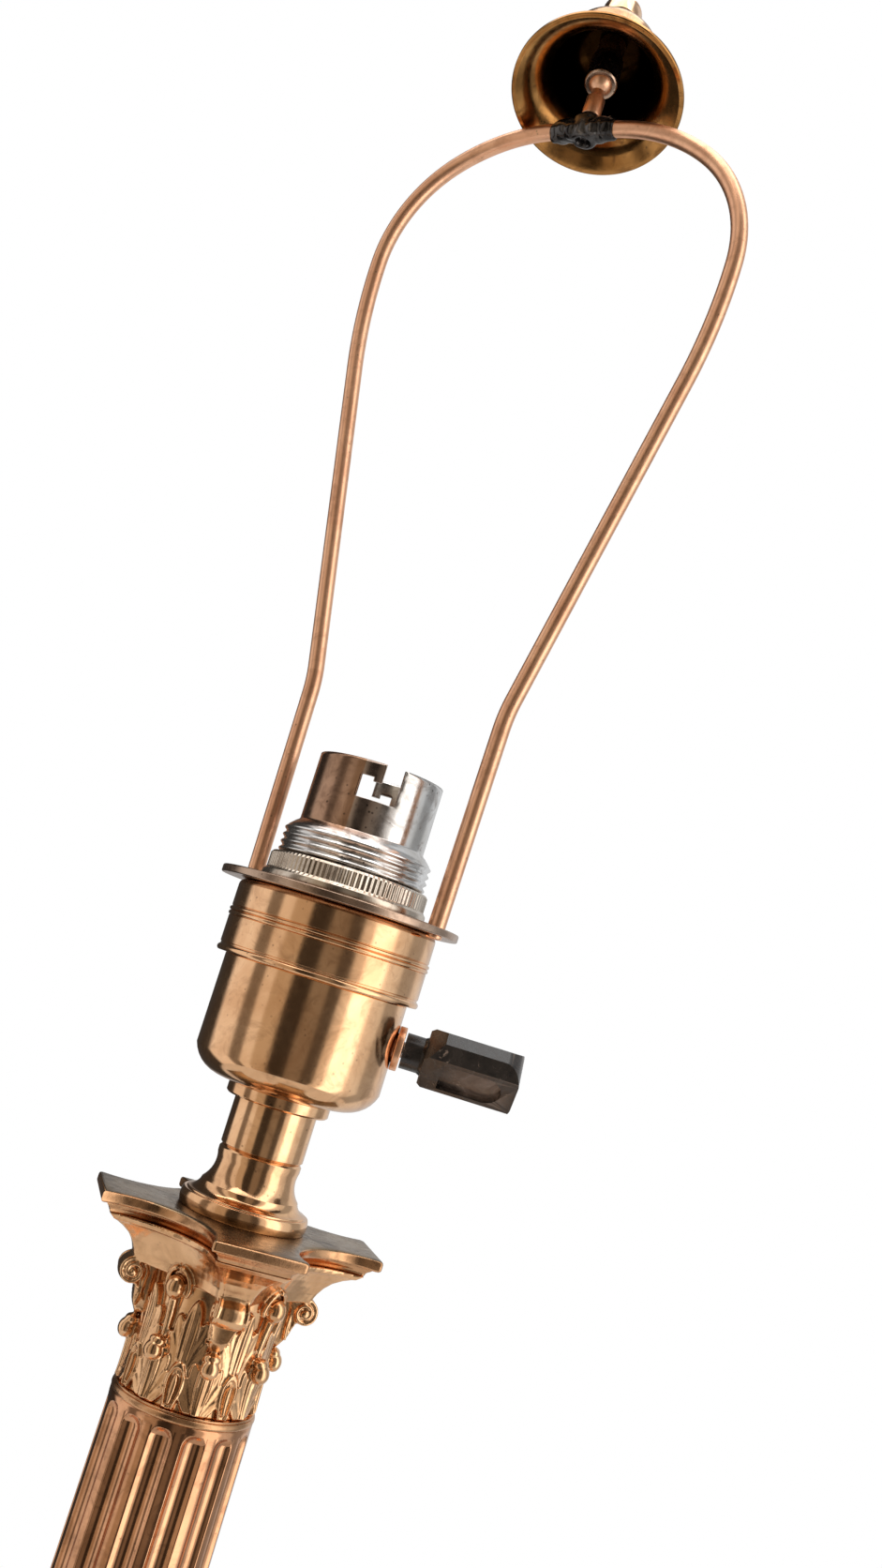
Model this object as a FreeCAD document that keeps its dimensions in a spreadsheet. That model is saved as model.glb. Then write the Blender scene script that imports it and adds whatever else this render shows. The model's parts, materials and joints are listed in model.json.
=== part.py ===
import FreeCAD, Part
import math
import os
import re

import Sketcher
from FreeCAD import Placement, Rotation, Vector

# Column table lamp. Millimetres, +Z up. The origin is the centre of the underside, on the
# table; the harp lies in the XZ plane and the sides of the square base are parallel to X and Y.

os.makedirs("parts", exist_ok=True)
doc = FreeCAD.newDocument("ColumnTableLamp")

# ---------------------------------------------------------------- driving dimensions

SIZES = {
    # clearances and fits
    "running_gap": 0.05,
    "assembly_gap": 0.3,
    # felt and stepped base
    "felt_side": 115,
    "felt_thickness": 2,
    "plinth_side": 118,
    "plinth_step": 9,
    "plinth_step_height": 10,
    "plinth_bevel": 2.2,
    "plinth_bevel_height": 2.2,
    "plinth_wall": 3.5,
    "weight_thickness": 9.7,
    "weight_channel": 10,
    "bush_height": 3.95,
    "bush_bore_radius": 2.5,
    "bush_body_radius": 3.3,
    "bush_flange_radius": 3.8,
    "bush_flange_thickness": 1.2,
    # pedestal block between the steps and the column
    "pedestal_side": 45,
    "pedestal_wall": 4,
    "pedestal_foot_spread": 6,
    "pedestal_foot_height": 6,
    "pedestal_die_height": 13,
    "pedestal_cap_spread": 3,
    "pedestal_cove_height": 3,
    "pedestal_cap_height": 2,
    # column base mouldings
    "lower_torus_radius": 20.5,
    "lower_torus_height": 6,
    "lower_torus_bulge": 2.4,
    "base_fillet_radius": 19.5,
    "base_fillet_height": 1.2,
    "scotia_radius": 17.6,
    "scotia_height": 4.2,
    "scotia_depth": 1.1,
    "upper_torus_radius": 17,
    "upper_torus_height": 3.6,
    "upper_torus_bulge": 1.5,
    "base_lip_radius": 16,
    "base_lip_height": 1,
    "base_bore_radius": 9,
    # fluted shaft
    "shaft_height": 215,
    "shaft_bottom_radius": 14.4,
    "shaft_top_radius": 13,
    "shaft_bore_radius": 10,
    "flute_count": 14,
    "flute_width": 4,
    "flute_depth": 1.1,
    "flute_margin": 1.1,
    "astragal_radius": 12.8,
    "astragal_height": 1.6,
    "astragal_bulge": 0.35,
    # capital
    "capital_height": 27.9,
    "bell_radius": 11.6,
    "bell_straight": 17,
    "bell_top_radius": 14,
    "bell_hollow": 0.9,
    "capital_bore_radius": 7,
    "lower_leaf_height": 11.5,
    "upper_leaf_height": 17.5,
    "leaf_width": 8.6,
    "leaf_thickness": 1.5,
    "leaf_curl": 1.5,
    "leaf_count": 8,
    "volute_radius": 2.3,
    "volute_reach": 16.2,
    "volute_width": 5.8,
    "volute_drop": 8.2,
    "flower_radius": 1.9,
    "flower_reach": 12.6,
    "flower_drop": 9.4,
    "horn_radius": 25.8,
    "horn_width": 17,
    "abacus_hollow": 8,
    "abacus_height": 2,
    "cove_height": 1.6,
    "cove_inset": 1.4,
    "cove_narrowing": 2.6,
    "cove_hollow": 7.6,
    "throat_radius": 15.5,
    "throat_width": 6,
    "throat_hollow": 1.8,
    "flare_inset": 2.6,
    "flare_narrowing": 5,
    "flare_hollow": 6.6,
    "throat_drop": 8,
    # tie tube and its nut
    "tie_radius": 5,
    "tie_bore_radius": 3.6,
    "tie_clearance": 0.3,
    "nut_across_flats": 14,
    "nut_height": 3.6,
    "washer_radius": 11,
    "washer_thickness": 1,
    "tie_tail": 0.8,
    # neck
    "foot_radius": 11.6,
    "foot_band_height": 2.8,
    "foot_band_bulge": 0.3,
    "foot_shoulder_radius": 11,
    "foot_flare_height": 7.4,
    "foot_flare_hollow": 1.3,
    "foot_height": 11.6,
    "neck_radius": 7.7,
    "neck_height": 9,
    "neck_groove": 0.35,
    "tie_reach_in_neck": 4.6,
    "lock_ring_radius": 9.6,
    "lock_ring_height": 2.5,
    "nipple_length": 11.6,
    "nipple_nut_height": 2.6,
    # switch housing and cap of the lampholder
    "housing_radius": 17.4,
    "housing_floor_radius": 10.6,
    "housing_corner_height": 4.4,
    "housing_corner_bulge": 1.5,
    "housing_height": 21.3,
    "housing_wall": 1.2,
    "spigot_radius": 16.6,
    "spigot_height": 4.6,
    "cap_radius": 19,
    "cap_lip": 0.3,
    "cap_lip_height": 1.1,
    "cap_height": 13.65,
    "cap_corner": 1.3,
    "cap_top_thickness": 1.4,
    "bead_height": 0.8,
    "bead_bulge": 0.25,
    "bead_level": 6.6,
    # barrel with its bayonet slots
    "barrel_radius": 12,
    "barrel_bore_radius": 11.2,
    "barrel_length": 13,
    "barrel_shoulder": 1.5,
    "barrel_flange_radius": 16.2,
    "barrel_flange_thickness": 1,
    "thread_radius": 14.2,
    "thread_root_radius": 13.7,
    "thread_bore_radius": 12.9,
    "thread_pitch": 1.35,
    "thread_crests": 10,
    "slot_width": 3.7,
    "slot_depth": 7,
    "slot_leg_height": 3.4,
    "slot_leg_length": 4.1,
    "slot_notch_width": 2.4,
    "slot_notch_rise": 0.8,
    "slot_azimuth": -45,
    # insulator, plungers and springs
    "insulator_flange_radius": 15.9,
    "insulator_flange_height": 3.3,
    "insulator_length": 11.2,
    "plunger_radius": 2.6,
    "plunger_offset": 4.9,
    "plunger_rise": 3.6,
    "plunger_length": 8,
    "plunger_travel": 3,
    "plunger_stem_radius": 0.9,
    "plunger_tail": 1.2,
    "spring_wire_radius": 0.3,
    "spring_coil_radius": 1.8,
    "spring_turns": 6,
    # key switch
    "key_azimuth": 30,
    "key_roll": -45,
    "key_level": 13.6,
    "spindle_radius": 1.5,
    "spindle_tail": 9,
    "key_collar_radius": 4.1,
    "key_collar_thickness": 1.4,
    "bush_sleeve_radius": 2.6,
    "bush_sleeve_length": 2.6,
    "key_shank_radius": 3.3,
    "key_shank_length": 3.4,
    "key_shoulder_length": 0.6,
    "paddle_length": 17.8,
    "paddle_shoulder_length": 3,
    "paddle_corner_radius": 3.4,
    "paddle_width": 12.6,
    "paddle_thickness": 7.2,
    "paddle_chamfer": 2.2,
    "recess_length": 11.6,
    "recess_width": 6.4,
    "recess_depth": 1.1,
    "recess_offset": 3.6,
    "rotor_radius": 4,
    "rotor_length": 9,
    "rotor_segment": 1.2,
    "cheek_thickness": 2.4,
    "cheek_width": 8,
    "cheek_drop": 4.4,
    "switch_base_thickness": 4,
    "switch_base_radius": 15.2,
    "blade_thickness": 0.6,
    "blade_width": 4,
    "blade_gap": 0.3,
    "terminal_length": 7,
    "terminal_width": 4.4,
    "terminal_height": 5,
    "terminal_screw_radius": 1.1,
    "terminal_screw_length": 3.4,
    # harp
    "harp_plate_radius": 22.8,
    "harp_plate_thickness": 1.45,
    "harp_foot_offset": 21,
    "harp_rod_radius": 1.625,
    "tenon_radius": 1.1,
    "rivet_radius": 1.5,
    "rivet_height": 0.8,
    "harp_knee_offset": 21.9,
    "harp_knee_height": 40.5,
    "harp_knee_bend": 30,
    "harp_half_width": 40,
    "harp_widest_height": 132.2,
    "harp_side_bend": 110,
    "harp_shoulder_bend": 28,
    "harp_height": 162,
    "boss_half_length": 6.2,
    "boss_radius": 3.1,
    "boss_hub_radius": 4.2,
    "boss_socket_depth": 2.4,
    "boss_hole_radius": 1.5,
    # shade ring
    "shade_ring_radius": 15.7,
    "shade_ring_waist": 0.5,
    "shade_ring_lip_height": 1.7,
    "shade_ring_height": 5.2,
    # ball swivel, cup and finial
    "stem_radius": 1.95,
    "stem_neck_radius": 1.35,
    "stem_neck_length": 1.4,
    "stem_height": 11.2,
    "ball_radius": 2.7,
    "socket_radius": 3.35,
    "socket_lip": 1.3,
    "socket_length": 12.6,
    "socket_tip_radius": 2.8,
    "socket_tip_length": 6,
    "stud_radius": 1.6,
    "stud_length": 9,
    "cup_tilt": 22,
    "cup_tilt_azimuth": 124,
    "cup_drop": 5.6,
    "cup_mouth_radius": 17.5,
    "cup_throat_radius": 11.4,
    "cup_throat_height": 7,
    "cup_flare_hollow": 1.1,
    "cup_side_height": 6,
    "cup_crown_bulge": 1.5,
    "cup_wall": 0.9,
    "finial_washer_radius": 5,
    "finial_washer_thickness": 0.8,
    "finial_seat_radius": 3.3,
    "finial_seat_height": 1.2,
    "finial_neck_radius": 2.6,
    "finial_neck_height": 2.2,
    "finial_knob_radius": 4.35,
    "finial_swell_height": 1.6,
    "finial_side_height": 3.6,
    "finial_dome_height": 3.8,
    "finial_dome_bulge": 0.9,
    "finial_tip_radius": 0.5,
}

sheet = doc.addObject("Spreadsheet::Sheet", "Sizes")
for row, (alias, size) in enumerate(SIZES.items(), start=1):
    sheet.set(f"A{row}", alias)
    sheet.set(f"B{row}", str(size))
    sheet.setAlias(f"B{row}", alias)
doc.recompute()


def bound(text):
    """The expression with each size written as a cell of the sheet."""
    return re.sub(
        r"[a-z]+(?:_[a-z]+)*",
        lambda word: f"Sizes.{word[0]}" if word[0] in SIZES else word[0],
        text,
    )


def size(text):
    """The value in millimetres, degrees or pieces of an expression in sizes."""
    return float(sheet.evalExpression(bound(text)))


# ---------------------------------------------------------------- levels, stacked from the table

PLINTH_SEAT = "felt_thickness"
PEDESTAL_SEAT = f"({PLINTH_SEAT} + 3 * plinth_step_height)"
PEDESTAL_HEIGHT = "pedestal_foot_height + pedestal_die_height + pedestal_cove_height + pedestal_cap_height"
COLUMN_BASE_SEAT = f"({PEDESTAL_SEAT} + {PEDESTAL_HEIGHT})"
COLUMN_BASE_HEIGHT = (
    "lower_torus_height + base_fillet_height + scotia_height + upper_torus_height + base_lip_height"
)
SHAFT_SEAT = f"({COLUMN_BASE_SEAT} + {COLUMN_BASE_HEIGHT})"
ASTRAGAL_SEAT = f"({SHAFT_SEAT} + shaft_height)"
CAPITAL_SEAT = f"({ASTRAGAL_SEAT} + astragal_height)"
ABACUS_SEAT = f"({CAPITAL_SEAT} + capital_height)"
FOOT_SEAT = f"({ABACUS_SEAT} + cove_height + abacus_height)"
NECK_SEAT = f"({FOOT_SEAT} + foot_height)"
LOCK_RING_SEAT = f"({NECK_SEAT} + neck_height)"
HOUSING_SEAT = f"({LOCK_RING_SEAT} + lock_ring_height)"
CAP_SEAT = f"({HOUSING_SEAT} + housing_height)"
PLATE_SEAT = f"({CAP_SEAT} + cap_height)"
SHADE_RING_SEAT = f"({PLATE_SEAT} + harp_plate_thickness)"
THREAD_SEAT = f"({PLATE_SEAT} - cap_top_thickness)"
FLANGE_SEAT = f"({THREAD_SEAT} - barrel_flange_thickness)"
INSULATOR_SEAT = f"({FLANGE_SEAT} - insulator_flange_height)"
KEY_LEVEL = f"({HOUSING_SEAT} + key_level)"
BOSS_LEVEL = f"({SHADE_RING_SEAT} + harp_height)"
BALL_LEVEL = f"({BOSS_LEVEL} + stem_height)"
WEIGHT_TOP = f"({PLINTH_SEAT} + 2 * plinth_step_height - plinth_wall)"
WEIGHT_SEAT = f"({WEIGHT_TOP} - weight_thickness)"
NUT_SEAT = f"({WEIGHT_SEAT} - washer_thickness - nut_height)"
TIE_FOOT = f"({NUT_SEAT} - tie_tail)"
TIE_TOP = f"({NECK_SEAT} + tie_reach_in_neck)"
NIPPLE_SEAT = f"({TIE_TOP} + assembly_gap)"

nodes = {}


def finish(label, item):
    """Enter the object among the lamp's pieces, under the name of its file."""
    item.Label = label
    nodes[label] = item
    return item


def place(item, up="0", across="0", turn=None, axis=Vector(0, 0, 1)):
    """Bind the object's place, and with turn its angle about axis, to the sizes."""
    if turn is not None:
        item.Placement = Placement(Vector(0, 0, 0), Rotation(axis, 1))
        item.setExpression("Placement.Rotation.Angle", bound(turn))
    item.setExpression("Placement.Base.x", bound(across))
    item.setExpression("Placement.Base.z", bound(up))
    return item


def primitive(kind, name, **sizes):
    """A primitive of the Part module whose properties are bound to the sizes."""
    item = doc.addObject(f"Part::{kind}", name)
    for key, text in sizes.items():
        item.setExpression(key, bound(text))
    return item


def fuse(name, items):
    joined = doc.addObject("Part::MultiFuse", name)
    joined.Shapes = items
    joined.Refine = True
    return joined


def cut(name, base, tool):
    remainder = doc.addObject("Part::Cut", name)
    remainder.Base = base
    remainder.Tool = tool
    return remainder


def common(name, base, tool):
    shared = doc.addObject("Part::Common", name)
    shared.Base = base
    shared.Tool = tool
    return shared


# ---------------------------------------------------------------- sketches and bodies


def origin_plane(body, role):
    return next(plane for plane in body.Origin.OriginFeatures if plane.Role == role)


def pin_point(sketch, edge, end, across, up):
    """Hold one end of an edge at its two coordinates."""
    for kind, text, crossed_axis in (("DistanceX", across, -2), ("DistanceY", up, -1)):
        if text == "0":
            sketch.addConstraint(Sketcher.Constraint("PointOnObject", edge, end, crossed_axis))
            continue
        index = sketch.addConstraint(Sketcher.Constraint(kind, -1, 1, edge, end, size(text)))
        sketch.setExpression(f"Constraints[{index}]", bound(text))


def arc_between(start, end, bulge):
    """The arc that bulges to the right of the way, kept counter-clockwise as sketches need it."""
    first, last = (start, end) if bulge > 0 else (end, start)
    way = last - first
    radius = (way.Length ** 2 / 4 + bulge ** 2) / (2 * abs(bulge))
    left = Vector(-way.y, way.x, 0).normalize()
    centre = (first + last) / 2 + left * (radius - abs(bulge))
    first_angle = math.atan2(first.y - centre.y, first.x - centre.x)
    last_angle = math.atan2(last.y - centre.y, last.x - centre.x)
    if last_angle < first_angle:
        last_angle += 2 * math.pi
    return Part.ArcOfCircle(Part.Circle(centre, Vector(0, 0, 1), radius), first_angle, last_angle)


def outline(body, name, plane, points, level="0"):
    """A closed outline of lines and arcs. A point is (across, up), or (across, up, bulge)
    where an arc leads to it that bulges to the right of the way there."""
    sketch = body.newObject("Sketcher::SketchObject", name)
    sketch.AttachmentSupport = (origin_plane(body, plane), [""])
    sketch.MapMode = "FlatFace"
    sketch.setExpression("AttachmentOffset.Base.z", bound(level))
    places = [Vector(size(point[0]), size(point[1]), 0) for point in points]
    ends = []
    for number, point in enumerate(points):
        start = places[number - 1]
        end = places[number]
        if len(point) == 2:
            sketch.addGeometry(Part.LineSegment(start, end))
            ends.append((1, 2))
            continue
        bulge = size(point[2])
        sketch.addGeometry(arc_between(start, end, bulge))
        ends.append((1, 2) if bulge > 0 else (2, 1))
    for number, point in enumerate(points):
        following = (number + 1) % len(points)
        sketch.addConstraint(
            Sketcher.Constraint("Coincident", number, ends[number][1], following, ends[following][0])
        )
    for number, point in enumerate(points):
        pin_point(sketch, number, ends[number][1], point[0], point[1])
        if len(point) == 3:
            before = points[number - 1]
            chord = f"((({point[0]}) - ({before[0]}))^2 + (({point[1]}) - ({before[1]}))^2)"
            radius = f"({chord} / 4 + ({point[2]})^2) / (2 * abs({point[2]}))"
            index = sketch.addConstraint(Sketcher.Constraint("Radius", number, size(radius)))
            sketch.setExpression(f"Constraints[{index}]", bound(radius))
    return sketch


def turned(label, points, up="0", lying=False, turn=None, axis=Vector(0, 0, 1)):
    """A turned piece. Its outline gives (radius, height[, bulge]), from the bore outwards at
    the bottom and back at the top. A lying piece is turned about X instead of Z."""
    body = doc.addObject("PartDesign::Body", label)
    if lying:
        points = [(point[1], point[0]) + tuple(f"-({bulge})" for bulge in point[2:]) for point in points]
    sketch = outline(body, f"{label}_outline", "XZ_Plane", points)
    solid = body.newObject("PartDesign::Revolution", f"{label}_turned")
    solid.Profile = (sketch, [""])
    solid.ReferenceAxis = (sketch, ["H_Axis" if lying else "V_Axis"])
    solid.Angle = 360
    body.Tip = solid
    doc.recompute()
    return place(body, up, turn=turn, axis=axis)


def padded(label, points, height, up="0", plane="XY_Plane", level="0"):
    """A piece of one outline pushed up by its height."""
    body = doc.addObject("PartDesign::Body", label)
    sketch = outline(body, f"{label}_outline", plane, points, level)
    solid = body.newObject("PartDesign::Pad", f"{label}_pad")
    solid.Profile = (sketch, [""])
    solid.setExpression("Length", bound(height))
    body.Tip = solid
    doc.recompute()
    return place(body, up)


def ring_profile(bore, rim, height):
    """The outline of a plain ring or tube."""
    return [(bore, "0"), (rim, "0"), (rim, height), (bore, height)]


# ---------------------------------------------------------------- base


def square_block(name, side, height, up):
    """A square block centred on the column's axis."""
    block = primitive("Box", name, Length=side, Width=side, Height=height)
    block.setExpression("Placement.Base.x", bound(f"-({side}) / 2"))
    block.setExpression("Placement.Base.y", bound(f"-({side}) / 2"))
    block.setExpression("Placement.Base.z", bound(up))
    return block


def square_frustum(name, low_side, high_side, height, up):
    """A square block that narrows or widens from its lower to its upper side."""
    block = doc.addObject("Part::Wedge", name)
    for key, text in {
        "Xmin": f"-({low_side}) / 2", "Xmax": f"({low_side}) / 2",
        "Ymin": "0", "Ymax": height,
        "Zmin": f"-({low_side}) / 2", "Zmax": f"({low_side}) / 2",
        "X2min": f"-({high_side}) / 2", "X2max": f"({high_side}) / 2",
        "Z2min": f"-({high_side}) / 2", "Z2max": f"({high_side}) / 2",
    }.items():
        block.setExpression(key, bound(text))
    block.Placement = Placement(Vector(0, 0, 0), Rotation(Vector(1, 0, 0), 90))
    block.setExpression("Placement.Base.z", bound(up))
    return block


def clearance_hole(name, top):
    """The hole that the tie tube passes through, cut from the table up to a level."""
    return primitive("Cylinder", name, Radius="tie_radius + tie_clearance", Height=top)


def make_felt():
    finish("felt_pad", square_block("felt_pad", "felt_side", "felt_thickness", "0"))


def bush_hole(name, radius, length):
    """A round hole or body along Y, through the back wall of the base."""
    rod = primitive("Cylinder", name, Radius=radius, Height=length)
    rod.Placement = Placement(Vector(0, 0, 0), Rotation(Vector(1, 0, 0), -90))
    rod.setExpression("Placement.Base.z", bound(f"{PLINTH_SEAT} + bush_height"))
    return rod


def make_plinth():
    outside = []
    inside = []
    for step in range(3):
        side = f"(plinth_side - {2 * step} * plinth_step)"
        seat = f"({PLINTH_SEAT} + {step} * plinth_step_height)"
        riser = "plinth_step_height - plinth_bevel_height"
        outside.append(square_block(f"plinth_riser_{step}", side, riser, seat))
        outside.append(
            square_frustum(
                f"plinth_bevel_{step}", side, f"{side} - 2 * plinth_bevel", "plinth_bevel_height",
                f"{seat} + {riser}",
            )
        )
        floor = PLINTH_SEAT if step == 0 else f"{seat} - plinth_wall"
        height = "plinth_step_height - plinth_wall" if step == 0 else "plinth_step_height"
        inside.append(square_block(f"plinth_hollow_{step}", f"{side} - 2 * plinth_wall", height, floor))
    tie_hole = clearance_hole("plinth_tie_hole", PEDESTAL_SEAT)
    cord_hole = bush_hole("plinth_cord_hole", "bush_body_radius + running_gap", "plinth_side")
    casting = cut("plinth_casting", fuse("plinth_outside", outside), fuse("plinth_inside", inside))
    finish("plinth", cut("plinth", casting, fuse("plinth_holes", [tie_hole, cord_hole])))


def make_weight():
    side = "(plinth_side - 2 * plinth_step - 2 * plinth_wall - 2 * assembly_gap)"
    slab = square_block("weight_slab", side, "weight_thickness", WEIGHT_SEAT)
    hole = clearance_hole("weight_hole", PEDESTAL_SEAT)
    channel = primitive(
        "Box", "weight_channel_cutter", Length="weight_channel", Width="plinth_side",
        Height=f"weight_channel / 2 + {WEIGHT_SEAT}",
    )
    channel.setExpression("Placement.Base.x", bound("-weight_channel / 2"))
    channel.setExpression("Placement.Base.y", bound("washer_radius"))
    finish("base_weight", cut("base_weight", slab, fuse("weight_openings", [hole, channel])))


def make_cord_bush():
    sleeve = "plinth_side / 2 - plinth_wall - assembly_gap"
    wall = "plinth_side / 2"
    bush = turned(
        "cord_bush",
        [
            ("bush_bore_radius", sleeve),
            ("bush_body_radius", sleeve),
            ("bush_body_radius", wall),
            ("bush_flange_radius", wall),
            ("bush_flange_radius", f"{wall} + bush_flange_thickness"),
            ("bush_bore_radius", f"{wall} + bush_flange_thickness"),
        ],
        f"{PLINTH_SEAT} + bush_height",
        lying=True,
    )
    bush.Placement = Placement(Vector(0, 0, 0), Rotation(Vector(0, 0, 1), 90))
    bush.setExpression("Placement.Base.z", bound(f"{PLINTH_SEAT} + bush_height"))
    finish("cord_bush", bush)


def make_pedestal():
    die_seat = f"({PEDESTAL_SEAT} + pedestal_foot_height)"
    cove_seat = f"({die_seat} + pedestal_die_height)"
    cap_seat = f"({cove_seat} + pedestal_cove_height)"
    wide = "(pedestal_side + 2 * pedestal_cap_spread)"
    foot = "(pedestal_side + 2 * pedestal_foot_spread)"
    outside = [
        square_frustum("pedestal_foot", foot, "pedestal_side", "pedestal_foot_height", PEDESTAL_SEAT),
        square_block("pedestal_die", "pedestal_side", "pedestal_die_height", die_seat),
        square_frustum("pedestal_cove", "pedestal_side", wide, "pedestal_cove_height", cove_seat),
        square_block("pedestal_cap", wide, "pedestal_cap_height", cap_seat),
    ]
    hollow = square_block(
        "pedestal_hollow", "pedestal_side - 2 * pedestal_wall",
        f"{PEDESTAL_HEIGHT} - pedestal_wall", PEDESTAL_SEAT,
    )
    hole = clearance_hole("pedestal_hole", COLUMN_BASE_SEAT)
    block = fuse("pedestal_outside", outside)
    finish("pedestal", cut("pedestal", block, fuse("pedestal_inside", [hollow, hole])))


def make_tie():
    length = f"({TIE_TOP} - {TIE_FOOT})"
    finish("tie_tube", turned("tie_tube", ring_profile("tie_bore_radius", "tie_radius", length), TIE_FOOT))
    thread = "(tie_radius + running_gap)"
    finish("tie_nut", hex_nut("tie_nut", "nut_across_flats", "nut_height", thread, NUT_SEAT))
    washer = ring_profile("(tie_radius + tie_clearance)", "washer_radius", "washer_thickness")
    finish("tie_washer", turned("tie_washer", washer, f"{NUT_SEAT} + nut_height"))


def hex_nut(label, across_flats, height, bore, up):
    """A six-sided nut with a plain bore."""
    corner = f"({across_flats}) / sqrt(3)"
    points = [
        (corner, "0"),
        (f"{corner} / 2", f"({across_flats}) / 2"),
        (f"-{corner} / 2", f"({across_flats}) / 2"),
        (f"-{corner}", "0"),
        (f"-{corner} / 2", f"-({across_flats}) / 2"),
        (f"{corner} / 2", f"-({across_flats}) / 2"),
    ]
    blank = padded(f"{label}_blank", points, height, up)
    hole = primitive("Cylinder", f"{label}_hole", Radius=bore, Height=f"{up} + ({height})")
    return cut(label, blank, hole)


# ---------------------------------------------------------------- column


def make_column_base():
    fillet = "lower_torus_height"
    scotia = f"({fillet} + base_fillet_height)"
    torus = f"({scotia} + scotia_height)"
    lip = f"({torus} + upper_torus_height)"
    top = f"({lip} + base_lip_height)"
    points = [
        ("base_bore_radius", "0"),
        ("lower_torus_radius", "0"),
        ("lower_torus_radius", fillet, "lower_torus_bulge"),
        ("base_fillet_radius", fillet),
        ("base_fillet_radius", scotia),
        ("scotia_radius", torus, "-scotia_depth"),
        ("upper_torus_radius", torus),
        ("upper_torus_radius", lip, "upper_torus_bulge"),
        ("base_lip_radius", lip),
        ("base_lip_radius", top),
        ("base_bore_radius", top),
    ]
    finish("column_base", turned("column_base", points, COLUMN_BASE_SEAT))


def flute_cutter():
    """One round-ended rod that leans with the shaft's taper and cuts one flute."""
    height = size("shaft_height")
    margin = size("flute_margin")
    depth = size("flute_depth")
    half_width = size("flute_width") / 2
    radius = (half_width ** 2 + depth ** 2) / (2 * depth)
    low_radius = size("shaft_bottom_radius")
    high_radius = size("shaft_top_radius")
    slope = (high_radius - low_radius) / height
    start_height = margin + half_width
    end_height = height - margin - half_width
    start = Vector(low_radius + slope * start_height + radius - depth, 0, start_height)
    end = Vector(low_radius + slope * end_height + radius - depth, 0, end_height)
    way = end - start
    rod = Part.makeCylinder(radius, way.Length, start, way)
    return rod.fuse([Part.makeSphere(radius, start), Part.makeSphere(radius, end)]).removeSplitter()


def make_shaft():
    height = size("shaft_height")
    tube = Part.makeCone(size("shaft_bottom_radius"), size("shaft_top_radius"), height)
    tube = tube.cut(Part.makeCylinder(size("shaft_bore_radius"), height))
    cutter = flute_cutter()
    count = int(size("flute_count"))
    for number in range(count):
        flute = cutter.copy()
        flute.rotate(Vector(0, 0, 0), Vector(0, 0, 1), 360 * (number + 0.5) / count)
        tube = tube.cut(flute)
    shaft = doc.addObject("Part::Feature", "column_shaft")
    shaft.Shape = tube
    finish("column_shaft", place(shaft, SHAFT_SEAT))


def make_astragal():
    points = [
        ("shaft_bore_radius", "0"),
        ("astragal_radius", "0"),
        ("astragal_radius", "astragal_height", "astragal_bulge"),
        ("shaft_bore_radius", "astragal_height"),
    ]
    finish("astragal_ring", turned("astragal_ring", points, ASTRAGAL_SEAT))


# ---------------------------------------------------------------- capital


def horned_square(reach, width, hollow):
    """The plan of an abacus: four blunt horns on the diagonals, with hollowed sides between."""
    far = f"(({reach}) + ({width}) / 2) * sqrt(0.5)"
    near = f"(({reach}) - ({width}) / 2) * sqrt(0.5)"
    corners = [(1, 1), (-1, 1), (-1, -1), (1, -1)]
    points = []
    for number, (sign_x, sign_y) in enumerate(corners):
        first, second = (far, near) if number % 2 == 0 else (near, far)
        arrive = (f"{sign_x} * {first}", f"{sign_y} * {second}", f"-({hollow})")
        leave = (f"{sign_x} * {second}", f"{sign_y} * {first}")
        points += [arrive, leave]
    return points


def leaf(height, turn):
    """One acanthus leaf: its bent side view, cut to its pointed front view."""
    bell = size("bell_radius")
    thickness = size("leaf_thickness")
    curl = size("leaf_curl")
    half_width = size("leaf_width") / 2
    inner = bell - thickness
    face = bell + thickness * 0.6
    side = [
        Vector(inner, -half_width, 0),
        Vector(face, -half_width, 0),
        Vector(face, -half_width, height * 0.55),
        Vector(face + curl, -half_width, height * 0.8),
        Vector(face + curl, -half_width, height - curl * 0.6),
        Vector(face, -half_width, height),
        Vector(inner, -half_width, height * 0.9),
    ]
    bent = Part.Face(Part.makePolygon(side + side[:1])).extrude(Vector(0, 2 * half_width, 0))
    front = [
        Vector(0, -half_width * 0.55, 0),
        Vector(0, -half_width * 0.9, height * 0.3),
        Vector(0, -half_width * 0.7, height * 0.42),
        Vector(0, -half_width, height * 0.6),
        Vector(0, -half_width * 0.45, height * 0.85),
        Vector(0, 0, height),
    ]
    front += [Vector(0, -point.y, point.z) for point in reversed(front[:-1])]
    pointed = Part.Face(Part.makePolygon(front + front[:1])).extrude(Vector(2 * bell, 0, 0))
    piece = bent.common(pointed)
    piece.rotate(Vector(0, 0, 0), Vector(0, 0, 1), turn)
    return piece


def volute(turn):
    """One corner scroll, a short roll across the diagonal on its stalk."""
    top = size("capital_height")
    reach = size("volute_reach")
    radius = size("volute_radius")
    width = size("volute_width")
    level = top - size("volute_drop")
    roll = Part.makeCylinder(radius, width, Vector(reach, -width / 2, level), Vector(0, 1, 0))
    stalk = Part.makeBox(
        reach - size("bell_radius") + 1, width * 0.7, radius * 1.6,
        Vector(size("bell_radius") - 1, -width * 0.35, level - radius * 0.8),
    )
    scroll = roll.fuse(stalk)
    scroll.rotate(Vector(0, 0, 0), Vector(0, 0, 1), turn)
    return scroll


def flower(turn):
    """One bud in the middle of a side."""
    centre = Vector(size("flower_reach"), 0, size("capital_height") - size("flower_drop"))
    bud = Part.makeSphere(size("flower_radius"), centre)
    bud.rotate(Vector(0, 0, 0), Vector(0, 0, 1), turn)
    return bud


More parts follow.
